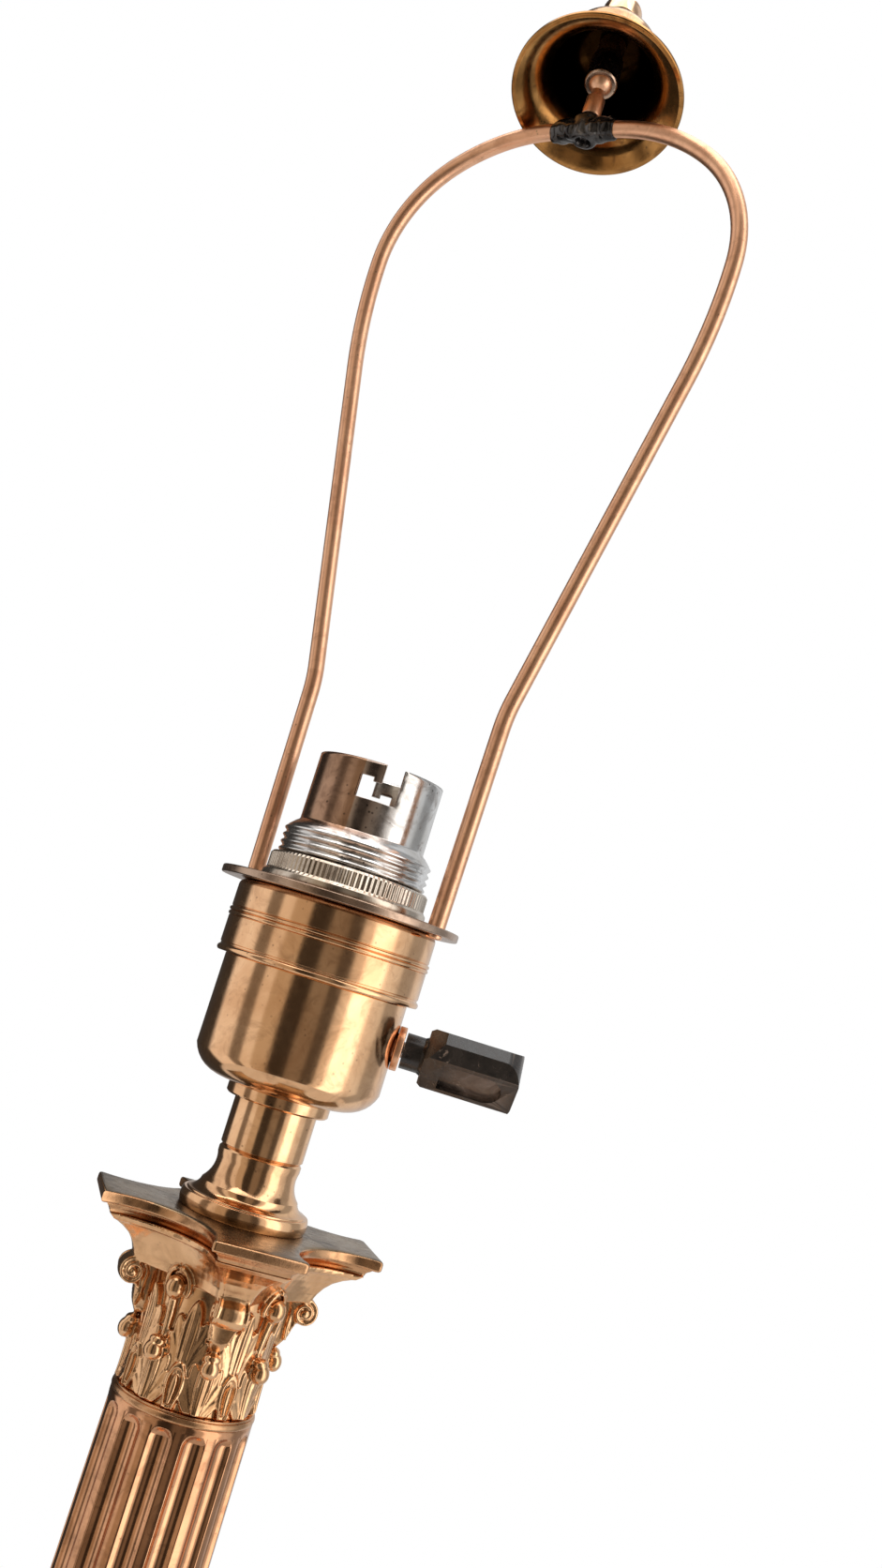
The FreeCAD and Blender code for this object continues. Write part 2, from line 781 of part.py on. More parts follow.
def make_capital():
    bell = turned(
        "capital_bell",
        [
            ("capital_bore_radius", "0"),
            ("bell_radius", "0"),
            ("bell_radius", "bell_straight"),
            ("bell_top_radius", "capital_height", "-bell_hollow"),
            ("capital_bore_radius", "capital_height"),
        ],
    )
    throat = doc.addObject("PartDesign::Body", "capital_throat")
    low_plan = horned_square("throat_radius", "throat_width", "throat_hollow")
    low = outline(throat, "throat_low", "XY_Plane", low_plan, "capital_height - throat_drop")
    high_plan = horned_square("horn_radius - flare_inset", "horn_width - flare_narrowing", "flare_hollow")
    high = outline(throat, "throat_high", "XY_Plane", high_plan, "capital_height")
    flare = throat.newObject("PartDesign::AdditiveLoft", "capital_flare")
    flare.Profile = (low, [""])
    flare.Sections = [(high, [""])]
    flare.Ruled = True
    throat.Tip = flare
    doc.recompute()
    hole = Part.makeCylinder(size("capital_bore_radius"), size("capital_height"))
    carving = [throat.Shape]
    count = int(size("leaf_count"))
    for number in range(count):
        carving.append(leaf(size("lower_leaf_height"), 360 * number / count))
        carving.append(leaf(size("upper_leaf_height"), 360 * (number + 0.5) / count))
    for corner in range(4):
        carving.append(volute(45 + 90 * corner))
        carving.append(flower(90 * corner))
    carved = doc.addObject("Part::Feature", "capital")
    carved.Shape = bell.Shape.fuse(carving).cut(hole)
    finish("capital", place(carved, CAPITAL_SEAT))


def make_abacus():
    cove = padded(
        "abacus_cove",
        horned_square("horn_radius - cove_inset", "horn_width - cove_narrowing", "cove_hollow"),
        "cove_height", ABACUS_SEAT,
    )
    slab = padded(
        "abacus_slab", horned_square("horn_radius", "horn_width", "abacus_hollow"),
        "abacus_height", f"{ABACUS_SEAT} + cove_height",
    )
    hole = clearance_hole("abacus_hole", FOOT_SEAT)
    finish("abacus", cut("abacus", fuse("abacus_blank", [cove, slab]), hole))


# ---------------------------------------------------------------- neck


def make_neck():
    bore = "(tie_radius + running_gap)"
    foot = turned(
        "neck_foot",
        [
            (bore, "0"),
            ("foot_radius", "0"),
            ("foot_radius", "foot_band_height", "foot_band_bulge"),
            ("foot_shoulder_radius", "foot_band_height"),
            ("neck_radius", "foot_band_height + foot_flare_height", "-foot_flare_hollow"),
            ("neck_radius", "foot_height - neck_groove"),
            ("neck_radius - neck_groove", "foot_height"),
            (bore, "foot_height"),
        ],
        FOOT_SEAT,
    )
    finish("neck_foot", foot)
    neck = turned(
        "neck",
        [
            (bore, "0"),
            ("neck_radius - neck_groove", "0"),
            ("neck_radius", "neck_groove"),
            ("neck_radius", "neck_height"),
            (bore, "neck_height"),
        ],
        NECK_SEAT,
    )
    finish("neck", neck)
    ring = turned(
        "lock_ring",
        [
            (bore, "0"),
            ("lock_ring_radius - neck_groove", "0"),
            ("lock_ring_radius", "neck_groove"),
            ("lock_ring_radius", "lock_ring_height - neck_groove"),
            ("lock_ring_radius - neck_groove", "lock_ring_height"),
            (bore, "lock_ring_height"),
        ],
        LOCK_RING_SEAT,
    )
    finish("lock_ring", ring)
    nipple = ring_profile("tie_bore_radius", "tie_radius", "nipple_length")
    finish("nipple", turned("nipple", nipple, NIPPLE_SEAT))
    nut_seat = f"({HOUSING_SEAT} + housing_wall)"
    finish("nipple_nut", hex_nut("nipple_nut", "nut_across_flats", "nipple_nut_height", bore, nut_seat))


# ---------------------------------------------------------------- lampholder


def make_housing():
    bore = "(tie_radius + running_gap)"
    top = "(housing_height + spigot_height)"
    inner = "(housing_radius - housing_wall)"
    shell = turned(
        "housing_shell",
        [
            (bore, "0"),
            ("housing_floor_radius", "0"),
            ("housing_radius", "housing_corner_height", "housing_corner_bulge"),
            ("housing_radius", "housing_height"),
            ("spigot_radius", "housing_height"),
            ("spigot_radius", top),
            ("spigot_radius - housing_wall", top),
            ("spigot_radius - housing_wall", "housing_height - housing_wall"),
            (inner, "housing_height - housing_wall"),
            (inner, "housing_corner_height + housing_wall"),
            ("housing_floor_radius - housing_wall", "housing_wall", "-housing_corner_bulge"),
            (bore, "housing_wall"),
        ],
        HOUSING_SEAT,
    )
    hole = turned(
        "housing_key_hole",
        [
            ("0", "spindle_tail"),
            ("bush_sleeve_radius + running_gap", "spindle_tail"),
            ("bush_sleeve_radius + running_gap", "housing_radius + key_collar_thickness"),
            ("0", "housing_radius + key_collar_thickness"),
        ],
        KEY_LEVEL, lying=True, turn="key_azimuth",
    )
    finish("switch_housing", cut("switch_housing", shell, hole))


def make_cap():
    hole = "(thread_radius + assembly_gap)"
    inner = "(spigot_radius + assembly_gap)"
    bead_two = "(bead_level + bead_height)"
    bead_top = "(bead_level + 2 * bead_height)"
    cap = turned(
        "holder_cap",
        [
            (inner, "0"),
            ("cap_radius", "0"),
            ("cap_radius", "cap_lip_height", "cap_lip"),
            ("cap_radius", "bead_level"),
            ("cap_radius", bead_two, "bead_bulge"),
            ("cap_radius", bead_top, "bead_bulge"),
            ("cap_radius", "cap_height - cap_corner"),
            ("cap_radius - cap_corner", "cap_height", "cap_corner * 0.29"),
            (hole, "cap_height"),
            (hole, "cap_height - cap_top_thickness"),
            (inner, "cap_height - cap_top_thickness"),
        ],
        CAP_SEAT,
    )
    finish("holder_cap", cap)


def threaded_profile():
    """The barrel's outline from the flange up to its rim and down its bore."""
    shoulder = "(barrel_flange_thickness + thread_crests * thread_pitch)"
    tube = f"({shoulder} + barrel_shoulder)"
    rim = f"({tube} + barrel_length)"
    wall = "(barrel_radius - barrel_bore_radius)"
    points = [
        ("thread_bore_radius", "0"),
        ("barrel_flange_radius", "0"),
        ("barrel_flange_radius", "barrel_flange_thickness"),
        ("thread_root_radius", "barrel_flange_thickness"),
    ]
    for crest in range(int(size("thread_crests"))):
        foot = f"(barrel_flange_thickness + {crest} * thread_pitch)"
        points += [
            ("thread_radius", f"{foot} + thread_pitch * 0.4"),
            ("thread_radius", f"{foot} + thread_pitch * 0.6"),
            ("thread_root_radius", f"{foot} + thread_pitch"),
        ]
    points += [
        ("barrel_radius", tube),
        ("barrel_radius", rim),
        ("barrel_bore_radius", rim),
        ("barrel_bore_radius", f"{tube} - {wall}"),
        ("thread_bore_radius", f"{shoulder} - {wall}"),
    ]
    return points, rim


def slot_cutter(rim):
    """One bayonet slot: the way in, the leg along the rim and the notch the pin rests in."""
    reach = "barrel_radius + assembly_gap"
    leg_low = f"({rim} - slot_depth)"
    leg_left = "(-slot_width / 2 - slot_leg_length)"
    entry = (("slot_width", "slot_depth + assembly_gap"), ("-slot_width / 2", leg_low))
    leg = (("slot_width + slot_leg_length", "slot_leg_height"), (leg_left, leg_low))
    notch = (("slot_notch_width", "slot_leg_height + slot_notch_rise"), (leg_left, leg_low))
    cuts = []
    for name, ((width, height), (left, low)) in zip(("entry", "leg", "notch"), (entry, leg, notch)):
        block = primitive("Box", f"slot_{name}", Length=width, Width=reach, Height=height)
        block.setExpression("Placement.Base.x", bound(left))
        block.setExpression("Placement.Base.y", bound(f"-({reach})"))
        block.setExpression("Placement.Base.z", bound(low))
        cuts.append(block)
    return fuse("slot_front", cuts)


def make_barrel():
    points, rim = threaded_profile()
    tube = turned("barrel_tube", points)
    front = slot_cutter(rim)
    back = doc.addObject("Part::Compound", "slot_back")
    back.Links = [front]
    place(back, turn="180")
    both = fuse("slot_pair", [front, back])
    place(both, turn="slot_azimuth + 90")
    finish("holder_barrel", place(cut("holder_barrel", tube, both), FLANGE_SEAT))
    return rim


def plunger_place(item, up, side):
    """Set a piece on one plunger's axis, across the line through the two slots."""
    angle = math.radians(size("slot_azimuth") + 90)
    item.setExpression("Placement.Base.x", bound(f"{side * math.cos(angle)} * plunger_offset"))
    item.setExpression("Placement.Base.y", bound(f"{side * math.sin(angle)} * plunger_offset"))
    item.setExpression("Placement.Base.z", bound(up))
    return item


PLUNGER_FLOOR = f"({INSULATOR_SEAT} + insulator_flange_height)"
PLUNGER_TOP = f"({INSULATOR_SEAT} + insulator_flange_height + insulator_length + plunger_rise)"


def make_insulator():
    total = "(insulator_flange_height + insulator_length)"
    body = turned(
        "insulator_blank",
        [
            ("0", "0"),
            ("insulator_flange_radius", "0"),
            ("insulator_flange_radius", "insulator_flange_height"),
            ("thread_bore_radius - assembly_gap", "insulator_flange_height"),
            ("thread_bore_radius - assembly_gap", total),
            ("0", total),
        ],
        INSULATOR_SEAT,
    )
    holes = []
    for name, side in (("near", -1), ("far", 1)):
        wide = primitive(
            "Cylinder", f"plunger_bore_{name}", Radius="plunger_radius + running_gap",
            Height="insulator_length + assembly_gap",
        )
        holes.append(plunger_place(wide, PLUNGER_FLOOR, side))
        narrow = primitive(
            "Cylinder", f"stem_bore_{name}", Radius="plunger_stem_radius + running_gap",
            Height="insulator_flange_height + assembly_gap",
        )
        holes.append(plunger_place(narrow, INSULATOR_SEAT, side))
    finish("insulator", cut("insulator", body, fuse("insulator_bores", holes)))


def make_plungers():
    for name, side in (("near", -1), ("far", 1)):
        stem_length = f"({PLUNGER_TOP} - plunger_length - {INSULATOR_SEAT} + plunger_tail)"
        plunger = turned(
            f"plunger_{name}",
            [
                ("0", "0"),
                ("plunger_stem_radius", "0"),
                ("plunger_stem_radius", stem_length),
                ("plunger_radius", stem_length),
                ("plunger_radius", f"{stem_length} + plunger_length"),
                ("0", f"{stem_length} + plunger_length"),
            ],
        )
        finish(f"plunger_{name}", plunger_place(plunger, f"{INSULATOR_SEAT} - plunger_tail", side))


def coil(free_length):
    """A spring of round wire, with half a wire's clearance at each end."""
    wire = size("spring_wire_radius")
    radius = size("spring_coil_radius")
    turns = int(size("spring_turns"))
    rise = free_length - 2 * wire
    helix = Part.makeHelix(rise / turns, rise, radius)
    helix.translate(Vector(0, 0, wire))
    section = Part.Wire(Part.makeCircle(wire, Vector(radius, 0, wire), Vector(0, 1, 0)))
    spring = Part.Wire(helix.Edges).makePipeShell([section], True, True)
    gap = rise / turns - 2 * wire
    print(f"spring: least gap between its turns {gap:.2f} mm")
    return spring


def make_springs():
    free_length = size(f"{PLUNGER_TOP} - plunger_length - {PLUNGER_FLOOR}")
    for name, side in (("near", -1), ("far", 1)):
        spring = doc.addObject("Part::Feature", f"plunger_spring_{name}")
        spring.Shape = coil(free_length)
        finish(f"plunger_spring_{name}", plunger_place(spring, PLUNGER_FLOOR, side))


# ---------------------------------------------------------------- key switch


def key_box(name, low, sides):
    """A block in the key's own frame, where X runs along its spindle."""
    block = primitive("Box", name, Length=sides[0], Width=sides[1], Height=sides[2])
    for letter, text in zip("xyz", low):
        block.setExpression(f"Placement.Base.{letter}", bound(text))
    return block


def aim(item):
    """Turn a piece built along X to the key's own direction and level."""
    return place(item, KEY_LEVEL, turn="key_azimuth")


SWITCH_CEILING = f"({INSULATOR_SEAT} - {KEY_LEVEL})"
SWITCH_FLOOR = f"({SWITCH_CEILING} - plunger_tail - plunger_travel - assembly_gap)"


def make_key_bush():
    bush = turned(
        "key_bush",
        [
            ("spindle_radius + running_gap", "housing_radius - bush_sleeve_length"),
            ("bush_sleeve_radius", "housing_radius - bush_sleeve_length"),
            ("bush_sleeve_radius", "housing_radius + running_gap"),
            ("key_collar_radius", "housing_radius + running_gap"),
            ("key_collar_radius", "housing_radius + key_collar_thickness"),
            ("spindle_radius + running_gap", "housing_radius + key_collar_thickness"),
        ],
        KEY_LEVEL, lying=True, turn="key_azimuth",
    )
    finish("key_bush", bush)


KEY_FACE = "(housing_radius + key_collar_thickness + assembly_gap)"


def make_key():
    paddle_start = f"({KEY_FACE} + key_shank_length + key_shoulder_length)"
    half_width = "paddle_width / 2"
    half_thickness = "paddle_thickness / 2"
    narrow = "(paddle_width / 2 - paddle_chamfer)"
    thin = "(paddle_thickness / 2 - paddle_chamfer)"
    points = [
        (half_width, thin),
        (narrow, half_thickness),
        (f"-{narrow}", half_thickness),
        (f"-{half_width}", thin),
        (f"-{half_width}", f"-{thin}"),
        (f"-{narrow}", f"-{half_thickness}"),
        (narrow, f"-{half_thickness}"),
        (half_width, f"-{thin}"),
    ]
    bar = padded("key_paddle_bar", points, "paddle_length", plane="YZ_Plane", level=paddle_start)
    shoulder = f"({paddle_start} + paddle_shoulder_length)"
    paddle_end = f"({paddle_start} + paddle_length)"
    corner_start = f"({paddle_end} - paddle_corner_radius)"
    corner_side = f"({half_width} - paddle_corner_radius)"
    corner_bulge = "(paddle_corner_radius * (1 - sqrt(2) / 2))"
    plan = padded(
        "key_paddle_plan",
        [
            (paddle_start, "-key_shank_radius"),
            (shoulder, f"-({half_width})"),
            (corner_start, f"-({half_width})"),
            (paddle_end, f"-{corner_side}", corner_bulge),
            (paddle_end, corner_side),
            (corner_start, half_width, corner_bulge),
            (shoulder, half_width),
            (paddle_start, "key_shank_radius"),
        ],
        "paddle_thickness",
        level=f"-({half_thickness})",
    )
    paddle = common("key_paddle", bar, plan)
    shank = turned(
        "key_shank",
        [
            ("0", KEY_FACE),
            ("key_shank_radius", KEY_FACE),
            ("key_shank_radius", f"{KEY_FACE} + key_shank_length"),
            (half_thickness, f"{paddle_start}"),
            ("0", f"{paddle_start}"),
        ],
        lying=True,
    )
    tools = []
    recess_radius = "(recess_width / 2)"
    for name, low in (("upper", f"{half_thickness} - recess_depth"), ("lower", f"-{half_thickness}")):
        start = f"({paddle_start} + recess_offset)"
        end = f"({start} + recess_length - recess_width / 2)"
        flat = key_box(
            f"recess_{name}", (start, f"-{recess_radius}", low),
            (f"{end} - {start}", "recess_width", "recess_depth"),
        )
        tip = primitive("Cylinder", f"recess_tip_{name}", Radius=recess_radius, Height="recess_depth")
        tip.setExpression("Placement.Base.x", bound(end))
        tip.setExpression("Placement.Base.z", bound(low))
        tools += [flat, tip]
    blank = cut("key_blank", fuse("key_solid", [paddle, shank]), fuse("key_recesses", tools))
    place(blank, turn="key_roll", axis=Vector(1, 0, 0))
    rolled = doc.addObject("Part::Compound", "switch_key")
    rolled.Links = [blank]
    finish("switch_key", aim(rolled))


def make_spindle_and_rotor():
    spindle = turned(
        "key_spindle",
        [
            ("0", "-spindle_tail"),
            ("spindle_radius", "-spindle_tail"),
            ("spindle_radius", KEY_FACE),
            ("0", KEY_FACE),
        ],
        KEY_LEVEL, lying=True, turn="key_azimuth",
    )
    finish("key_spindle", spindle)
    bore = "(spindle_radius + running_gap)"
    half = "rotor_length / 2"
    rotor = turned(
        "switch_rotor",
        [
            (bore, f"-{half}"),
            ("rotor_radius", f"-{half}"),
            ("rotor_radius", "-rotor_segment"),
            ("rotor_radius - rotor_segment", "-rotor_segment"),
            ("rotor_radius - rotor_segment", "rotor_segment"),
            ("rotor_radius", "rotor_segment"),
            ("rotor_radius", half),
            (bore, half),
        ],
        KEY_LEVEL, lying=True, turn="key_azimuth",
    )
    finish("switch_rotor", rotor)
    inner = "(rotor_radius - rotor_segment + running_gap)"
    ring = turned(
        "rotor_contact",
        [
            (inner, "-rotor_segment + running_gap"),
            ("rotor_radius", "-rotor_segment + running_gap"),
            ("rotor_radius", "rotor_segment - running_gap"),
            (inner, "rotor_segment - running_gap"),
        ],
        KEY_LEVEL, lying=True, turn="key_azimuth",
    )
    finish("rotor_contact", ring)


def make_switch_base():
    """The insulating block under the insulator, with the two cheeks that hold the spindle."""
    disc = primitive("Cylinder", "switch_disc", Radius="switch_base_radius", Height="switch_base_thickness")
    disc.setExpression("Placement.Base.z", bound(f"{SWITCH_FLOOR} - switch_base_thickness"))
    top = f"({SWITCH_FLOOR} - switch_base_thickness)"
    depth = f"{SWITCH_CEILING} - {SWITCH_FLOOR}"
    rim = primitive("Cylinder", "switch_rim", Radius="switch_base_radius", Height=depth)
    rim.setExpression("Placement.Base.z", bound(SWITCH_FLOOR))
    bore = "switch_base_radius - cheek_thickness"
    well = primitive("Cylinder", "switch_well", Radius=bore, Height=depth)
    well.setExpression("Placement.Base.z", bound(SWITCH_FLOOR))
    cheeks = []
    for name, start in (
        ("tail", "-spindle_tail + assembly_gap"),
        ("front", "rotor_length / 2 + assembly_gap"),
    ):
        cheeks.append(
            key_box(
                f"cheek_{name}", (start, "-cheek_width / 2", "-cheek_drop"),
                ("cheek_thickness", "cheek_width", f"cheek_drop + {top}"),
            )
        )
    spindle = turned(
        "cheek_hole",
        [
            ("0", "-spindle_tail"),
            ("spindle_radius + running_gap", "-spindle_tail"),
            ("spindle_radius + running_gap", "housing_radius"),
            ("0", "housing_radius"),
        ],
        lying=True,
    )
    block = fuse("switch_block", [disc, cut("switch_ring", rim, well)] + cheeks)
    finish("switch_base", aim(cut("switch_base", block, spindle)))


def make_switch_contacts():
    top = f"({SWITCH_FLOOR} - switch_base_thickness)"
    blades = []
    blocks = []
    screws = []
    for name, side in (("left", -1), ("right", 1)):
        near = "(rotor_radius + blade_gap)"
        far = f"-{near} - blade_thickness"
        low_y = near if side > 0 else far
        blades.append(
            key_box(
                f"blade_{name}", ("-blade_width / 2", low_y, "-rotor_radius"),
                ("blade_width", "blade_thickness", f"rotor_radius + {top}"),
            )
        )
        block_y = f"({near} + blade_thickness)" if side > 0 else f"({far} - terminal_width)"
        blocks.append(
            key_box(
                f"terminal_{name}", ("-terminal_length / 2", block_y, f"{top} - terminal_height"),
                ("terminal_length", "terminal_width", "terminal_height"),
            )
        )
        screw = primitive(
            "Cylinder", f"screw_{name}", Radius="terminal_screw_radius", Height="terminal_screw_length",
        )
        screw.setExpression("Placement.Base.y", bound(f"{block_y} + terminal_width / 2"))
        screw.setExpression("Placement.Base.z", bound(f"{top} - terminal_height - terminal_screw_length"))
        screws.append(screw)
    groups = {"contact_blades": blades, "terminal_blocks": blocks, "terminal_screws": screws}
    for label, items in groups.items():
        group = doc.addObject("Part::Compound", label)
        group.Links = items
        finish(label, aim(group))


# ---------------------------------------------------------------- harp


def make_harp_plate():
    hole = "(thread_radius + assembly_gap)"
    disc = turned("harp_disc", ring_profile(hole, "harp_plate_radius", "harp_plate_thickness"))
    holes = []
    for name, sign in (("left", "-"), ("right", "")):
        hole_tool = primitive(
            "Cylinder", f"tenon_hole_{name}", Radius="tenon_radius + running_gap",
            Height="harp_plate_thickness",
        )
        hole_tool.setExpression("Placement.Base.x", bound(f"{sign}harp_foot_offset"))
        holes.append(hole_tool)
    finish("harp_plate", place(cut("harp_plate", disc, fuse("tenon_holes", holes)), PLATE_SEAT))


def tangent_point(point, centre, radius):
    """Where a line from the point touches the circle, on the side away from the axis."""
    way = point - centre
    opening = math.acos(radius / way.Length)
    angle = math.atan2(way.z, way.x) + opening
    return centre + Vector(radius * math.cos(angle), 0, radius * math.sin(angle))


def bend(before, corner, after, radius):
    """The three points of an arc that rounds a corner."""
    way_in = (before - corner).normalize()
    way_out = (after - corner).normalize()
    half_angle = way_in.getAngle(way_out) / 2
    start = corner + way_in * (radius / math.tan(half_angle))
    end = corner + way_out * (radius / math.tan(half_angle))
    towards = (way_in + way_out).normalize()
    centre = corner + towards * (radius / math.sin(half_angle))
    return start, centre - towards * radius, end


def arc_about(centre, start, end):
    """The short arc from start to end about its centre."""
    radius = (start - centre).Length
    middle = centre + ((start + end) / 2 - centre).normalize() * radius
    return Part.Arc(start, middle, end).toShape()


def harp_path():
    """The centre line of the right-hand rod, from the plate up to its socket in the boss."""
    foot = Vector(size("harp_foot_offset"), 0, 0)
    knee = Vector(size("harp_knee_offset"), 0, size("harp_knee_height"))
    widest = Vector(size("harp_half_width"), 0, size("harp_widest_height"))
    side_centre = widest - Vector(size("harp_side_bend"), 0, 0)
    side_start = tangent_point(knee, side_centre, size("harp_side_bend"))
    knee_start, knee_middle, knee_end = bend(foot, knee, side_start, size("harp_knee_bend"))
    shoulder = size("harp_shoulder_bend")
    shoulder_centre = widest - Vector(shoulder, 0, 0)
    mouth = Vector(size("boss_half_length"), 0, size("harp_height"))
    across = shoulder_centre.x - mouth.x
    rise = mouth.z - shoulder_centre.z
    crown = (across ** 2 + rise ** 2 - shoulder ** 2) / (2 * (rise - shoulder))
    crown_centre = mouth - Vector(0, 0, crown)
    joint = crown_centre + (shoulder_centre - crown_centre).normalize() * crown
    end = mouth - Vector(size("boss_socket_depth - running_gap"), 0, 0)
    return [
        Part.makeLine(foot, knee_start),
        Part.Arc(knee_start, knee_middle, knee_end).toShape(),
        Part.makeLine(knee_end, side_start),
        arc_about(side_centre, side_start, widest),
        arc_about(shoulder_centre, widest, joint),
        arc_about(crown_centre, joint, mouth),
        Part.makeLine(mouth, end),
    ]


def make_harp_rods():
    radius = size("harp_rod_radius")
    foot = size("harp_foot_offset")
    plate = size("harp_plate_thickness")
    rivet = size("rivet_height")
    path = Part.Wire(harp_path())
    section = Part.Wire(Part.makeCircle(radius, Vector(foot, 0, 0), Vector(0, 0, 1)))
    rod = path.makePipeShell([section], True, False)
    tenon = Part.makeCylinder(size("tenon_radius"), plate + rivet, Vector(foot, 0, -plate - rivet))
    head = Part.makeCylinder(size("rivet_radius"), rivet, Vector(foot, 0, -plate - rivet))
    rod = rod.fuse([tenon, head]).removeSplitter()
    for name, turn in (("right", "0"), ("left", "180")):
        leg = doc.addObject("Part::Feature", f"harp_rod_{name}")
        leg.Shape = rod
        finish(f"harp_rod_{name}", place(leg, SHADE_RING_SEAT, turn=turn))


def make_boss():
    arm = turned(
        "boss_arm",
        [
            ("0", "-boss_half_length"),
            ("boss_radius", "-boss_half_length"),
            ("boss_radius", "boss_half_length"),
            ("0", "boss_half_length"),
        ],
        lying=True,
    )
    hub = primitive("Cylinder", "boss_hub", Radius="boss_hub_radius", Height="2 * boss_radius")
    hub.setExpression("Placement.Base.z", bound("-boss_radius"))
    tools = []
    for name, start in (("left", "-boss_half_length"), ("right", "boss_half_length - boss_socket_depth")):
        tools.append(
            turned(
                f"boss_socket_{name}",
                [
                    ("0", start),
                    ("harp_rod_radius + running_gap", start),
                    ("harp_rod_radius + running_gap", f"{start} + boss_socket_depth"),
                    ("0", f"{start} + boss_socket_depth"),
                ],
                lying=True,
            )
        )
    hole = primitive("Cylinder", "boss_hole", Radius="boss_hole_radius", Height="2 * boss_radius")
    hole.setExpression("Placement.Base.z", bound("-boss_radius"))
    boss = cut("harp_boss", fuse("boss_blank", [arm, hub]), fuse("boss_openings", tools + [hole]))
    finish("harp_boss", place(boss, BOSS_LEVEL))


def make_shade_ring():
    bore = "(thread_radius + running_gap)"
    waist = "(shade_ring_radius - shade_ring_waist)"
    lip = "shade_ring_lip_height"
    ring = turned(
        "shade_ring",
        [
            (bore, "0"),
            ("shade_ring_radius", "0"),
            ("shade_ring_radius", lip, "shade_ring_waist / 2"),
            (waist, f"{lip} + shade_ring_waist", "-shade_ring_waist / 4"),
            (waist, "shade_ring_height - shade_ring_waist"),
            (f"{waist} - shade_ring_waist", "shade_ring_height"),
            (bore, "shade_ring_height"),
        ],
        SHADE_RING_SEAT,
    )
    finish("shade_ring", ring)


# ---------------------------------------------------------------- swivel, cup and finial


def cup_axis():
    """The level line that the cup tilts about, at right angles to the way it leans."""
    azimuth = math.radians(size("cup_tilt_azimuth"))
    return Vector(-math.sin(azimuth), math.cos(azimuth), 0)


def tilt(item):
    """Set a piece built about the ball's centre on the tilted axis of the cup."""
    return place(item, BALL_LEVEL, turn="cup_tilt", axis=cup_axis())


def make_stem():
    """The stem below the ball, with its threaded end in the boss."""
    seat = "(boss_radius - stem_height)"
    neck = "(-ball_radius - stem_neck_length)"
    stem = turned(
        "stem_rod",
        [
            ("0", "-stem_height"),
            ("boss_hole_radius - running_gap", "-stem_height"),
            ("boss_hole_radius - running_gap", seat),
            ("stem_radius", seat),
            ("stem_radius", neck),
            ("stem_neck_radius", f"{neck} + stem_radius - stem_neck_radius"),
            ("stem_neck_radius", "0"),
            ("0", "0"),
        ],
    )
    ball = primitive("Sphere", "stem_ball", Radius="ball_radius")
    finish("swivel_stem", place(fuse("swivel_stem", [stem, ball]), BALL_LEVEL))


CROWN = "socket_length"


def make_socket():
    """The socket that holds the ball, with the stud that carries the cup and the finial."""
    step = "(socket_length - socket_tip_length)"
    rod = turned(
        "socket_rod",
        [
            ("0", "-socket_lip"),
            ("socket_radius", "-socket_lip"),
            ("socket_radius", step),
            ("socket_tip_radius", f"{step} + socket_radius - socket_tip_radius"),
            ("socket_tip_radius", CROWN),
            ("stud_radius", CROWN),
            ("stud_radius", f"{CROWN} + stud_length"),
            ("0", f"{CROWN} + stud_length"),
        ],
    )
    hollow = primitive("Sphere", "socket_hollow", Radius="ball_radius + running_gap")
    socket = cut("ball_socket", rod, hollow)
    finish("ball_socket", tilt(socket))


def make_cup():
    mouth = "-cup_drop"
    throat = "(cup_throat_height - cup_drop)"
    side = f"({throat} + cup_side_height)"
    hole = "(stud_radius + running_gap)"
    cup = turned(
        "cup",
        [
            (hole, CROWN),
            ("socket_tip_radius + cup_wall", CROWN),
            ("cup_throat_radius - 2 * cup_wall", side, "-cup_crown_bulge"),
            ("cup_throat_radius - cup_wall", throat),
            ("cup_mouth_radius - cup_wall", f"{mouth}", "cup_flare_hollow"),
            ("cup_mouth_radius", f"{mouth}"),
            ("cup_mouth_radius", f"{mouth} + cup_wall"),
            ("cup_throat_radius", f"{throat} + cup_wall", "-cup_flare_hollow"),
            ("cup_throat_radius - cup_wall", f"{side} + cup_wall / 2"),
            ("socket_tip_radius + 2 * cup_wall", f"{CROWN} + cup_wall", "cup_crown_bulge"),
            (hole, f"{CROWN} + cup_wall"),
        ],
    )
    finish("cup", tilt(cup))


FINIAL_SEAT = f"({CROWN} + cup_wall + finial_washer_thickness)"


def make_finial():
    hole = "(stud_radius + running_gap)"
    low = f"({CROWN} + cup_wall)"
    washer = turned(
        "finial_washer",
        [
            (hole, low),
            ("finial_washer_radius", low),
            ("finial_washer_radius", FINIAL_SEAT),
            (hole, FINIAL_SEAT),
        ],
    )
    finish("finial_washer", tilt(washer))
    neck = f"({FINIAL_SEAT} + finial_seat_height)"
    swell = f"({neck} + finial_neck_height)"
    side = f"({swell} + finial_swell_height)"
    dome = f"({side} + finial_side_height)"
    top = f"({dome} + finial_dome_height)"
    bore_top = f"({CROWN} + stud_length + assembly_gap)"
    finial = turned(
        "finial",
        [
            (hole, FINIAL_SEAT),
            ("finial_seat_radius", FINIAL_SEAT),
            ("finial_seat_radius", neck),
            ("finial_neck_radius", f"{neck} + finial_seat_radius - finial_neck_radius"),
            ("finial_neck_radius", swell),
            ("finial_knob_radius", side),
            ("finial_knob_radius", dome),
            ("finial_tip_radius", top, "finial_dome_bulge"),
            ("0", top),
            ("0", bore_top),
            (hole, bore_top),
        ],
    )
    finish("finial", tilt(finial))


# ---------------------------------------------------------------- assembly

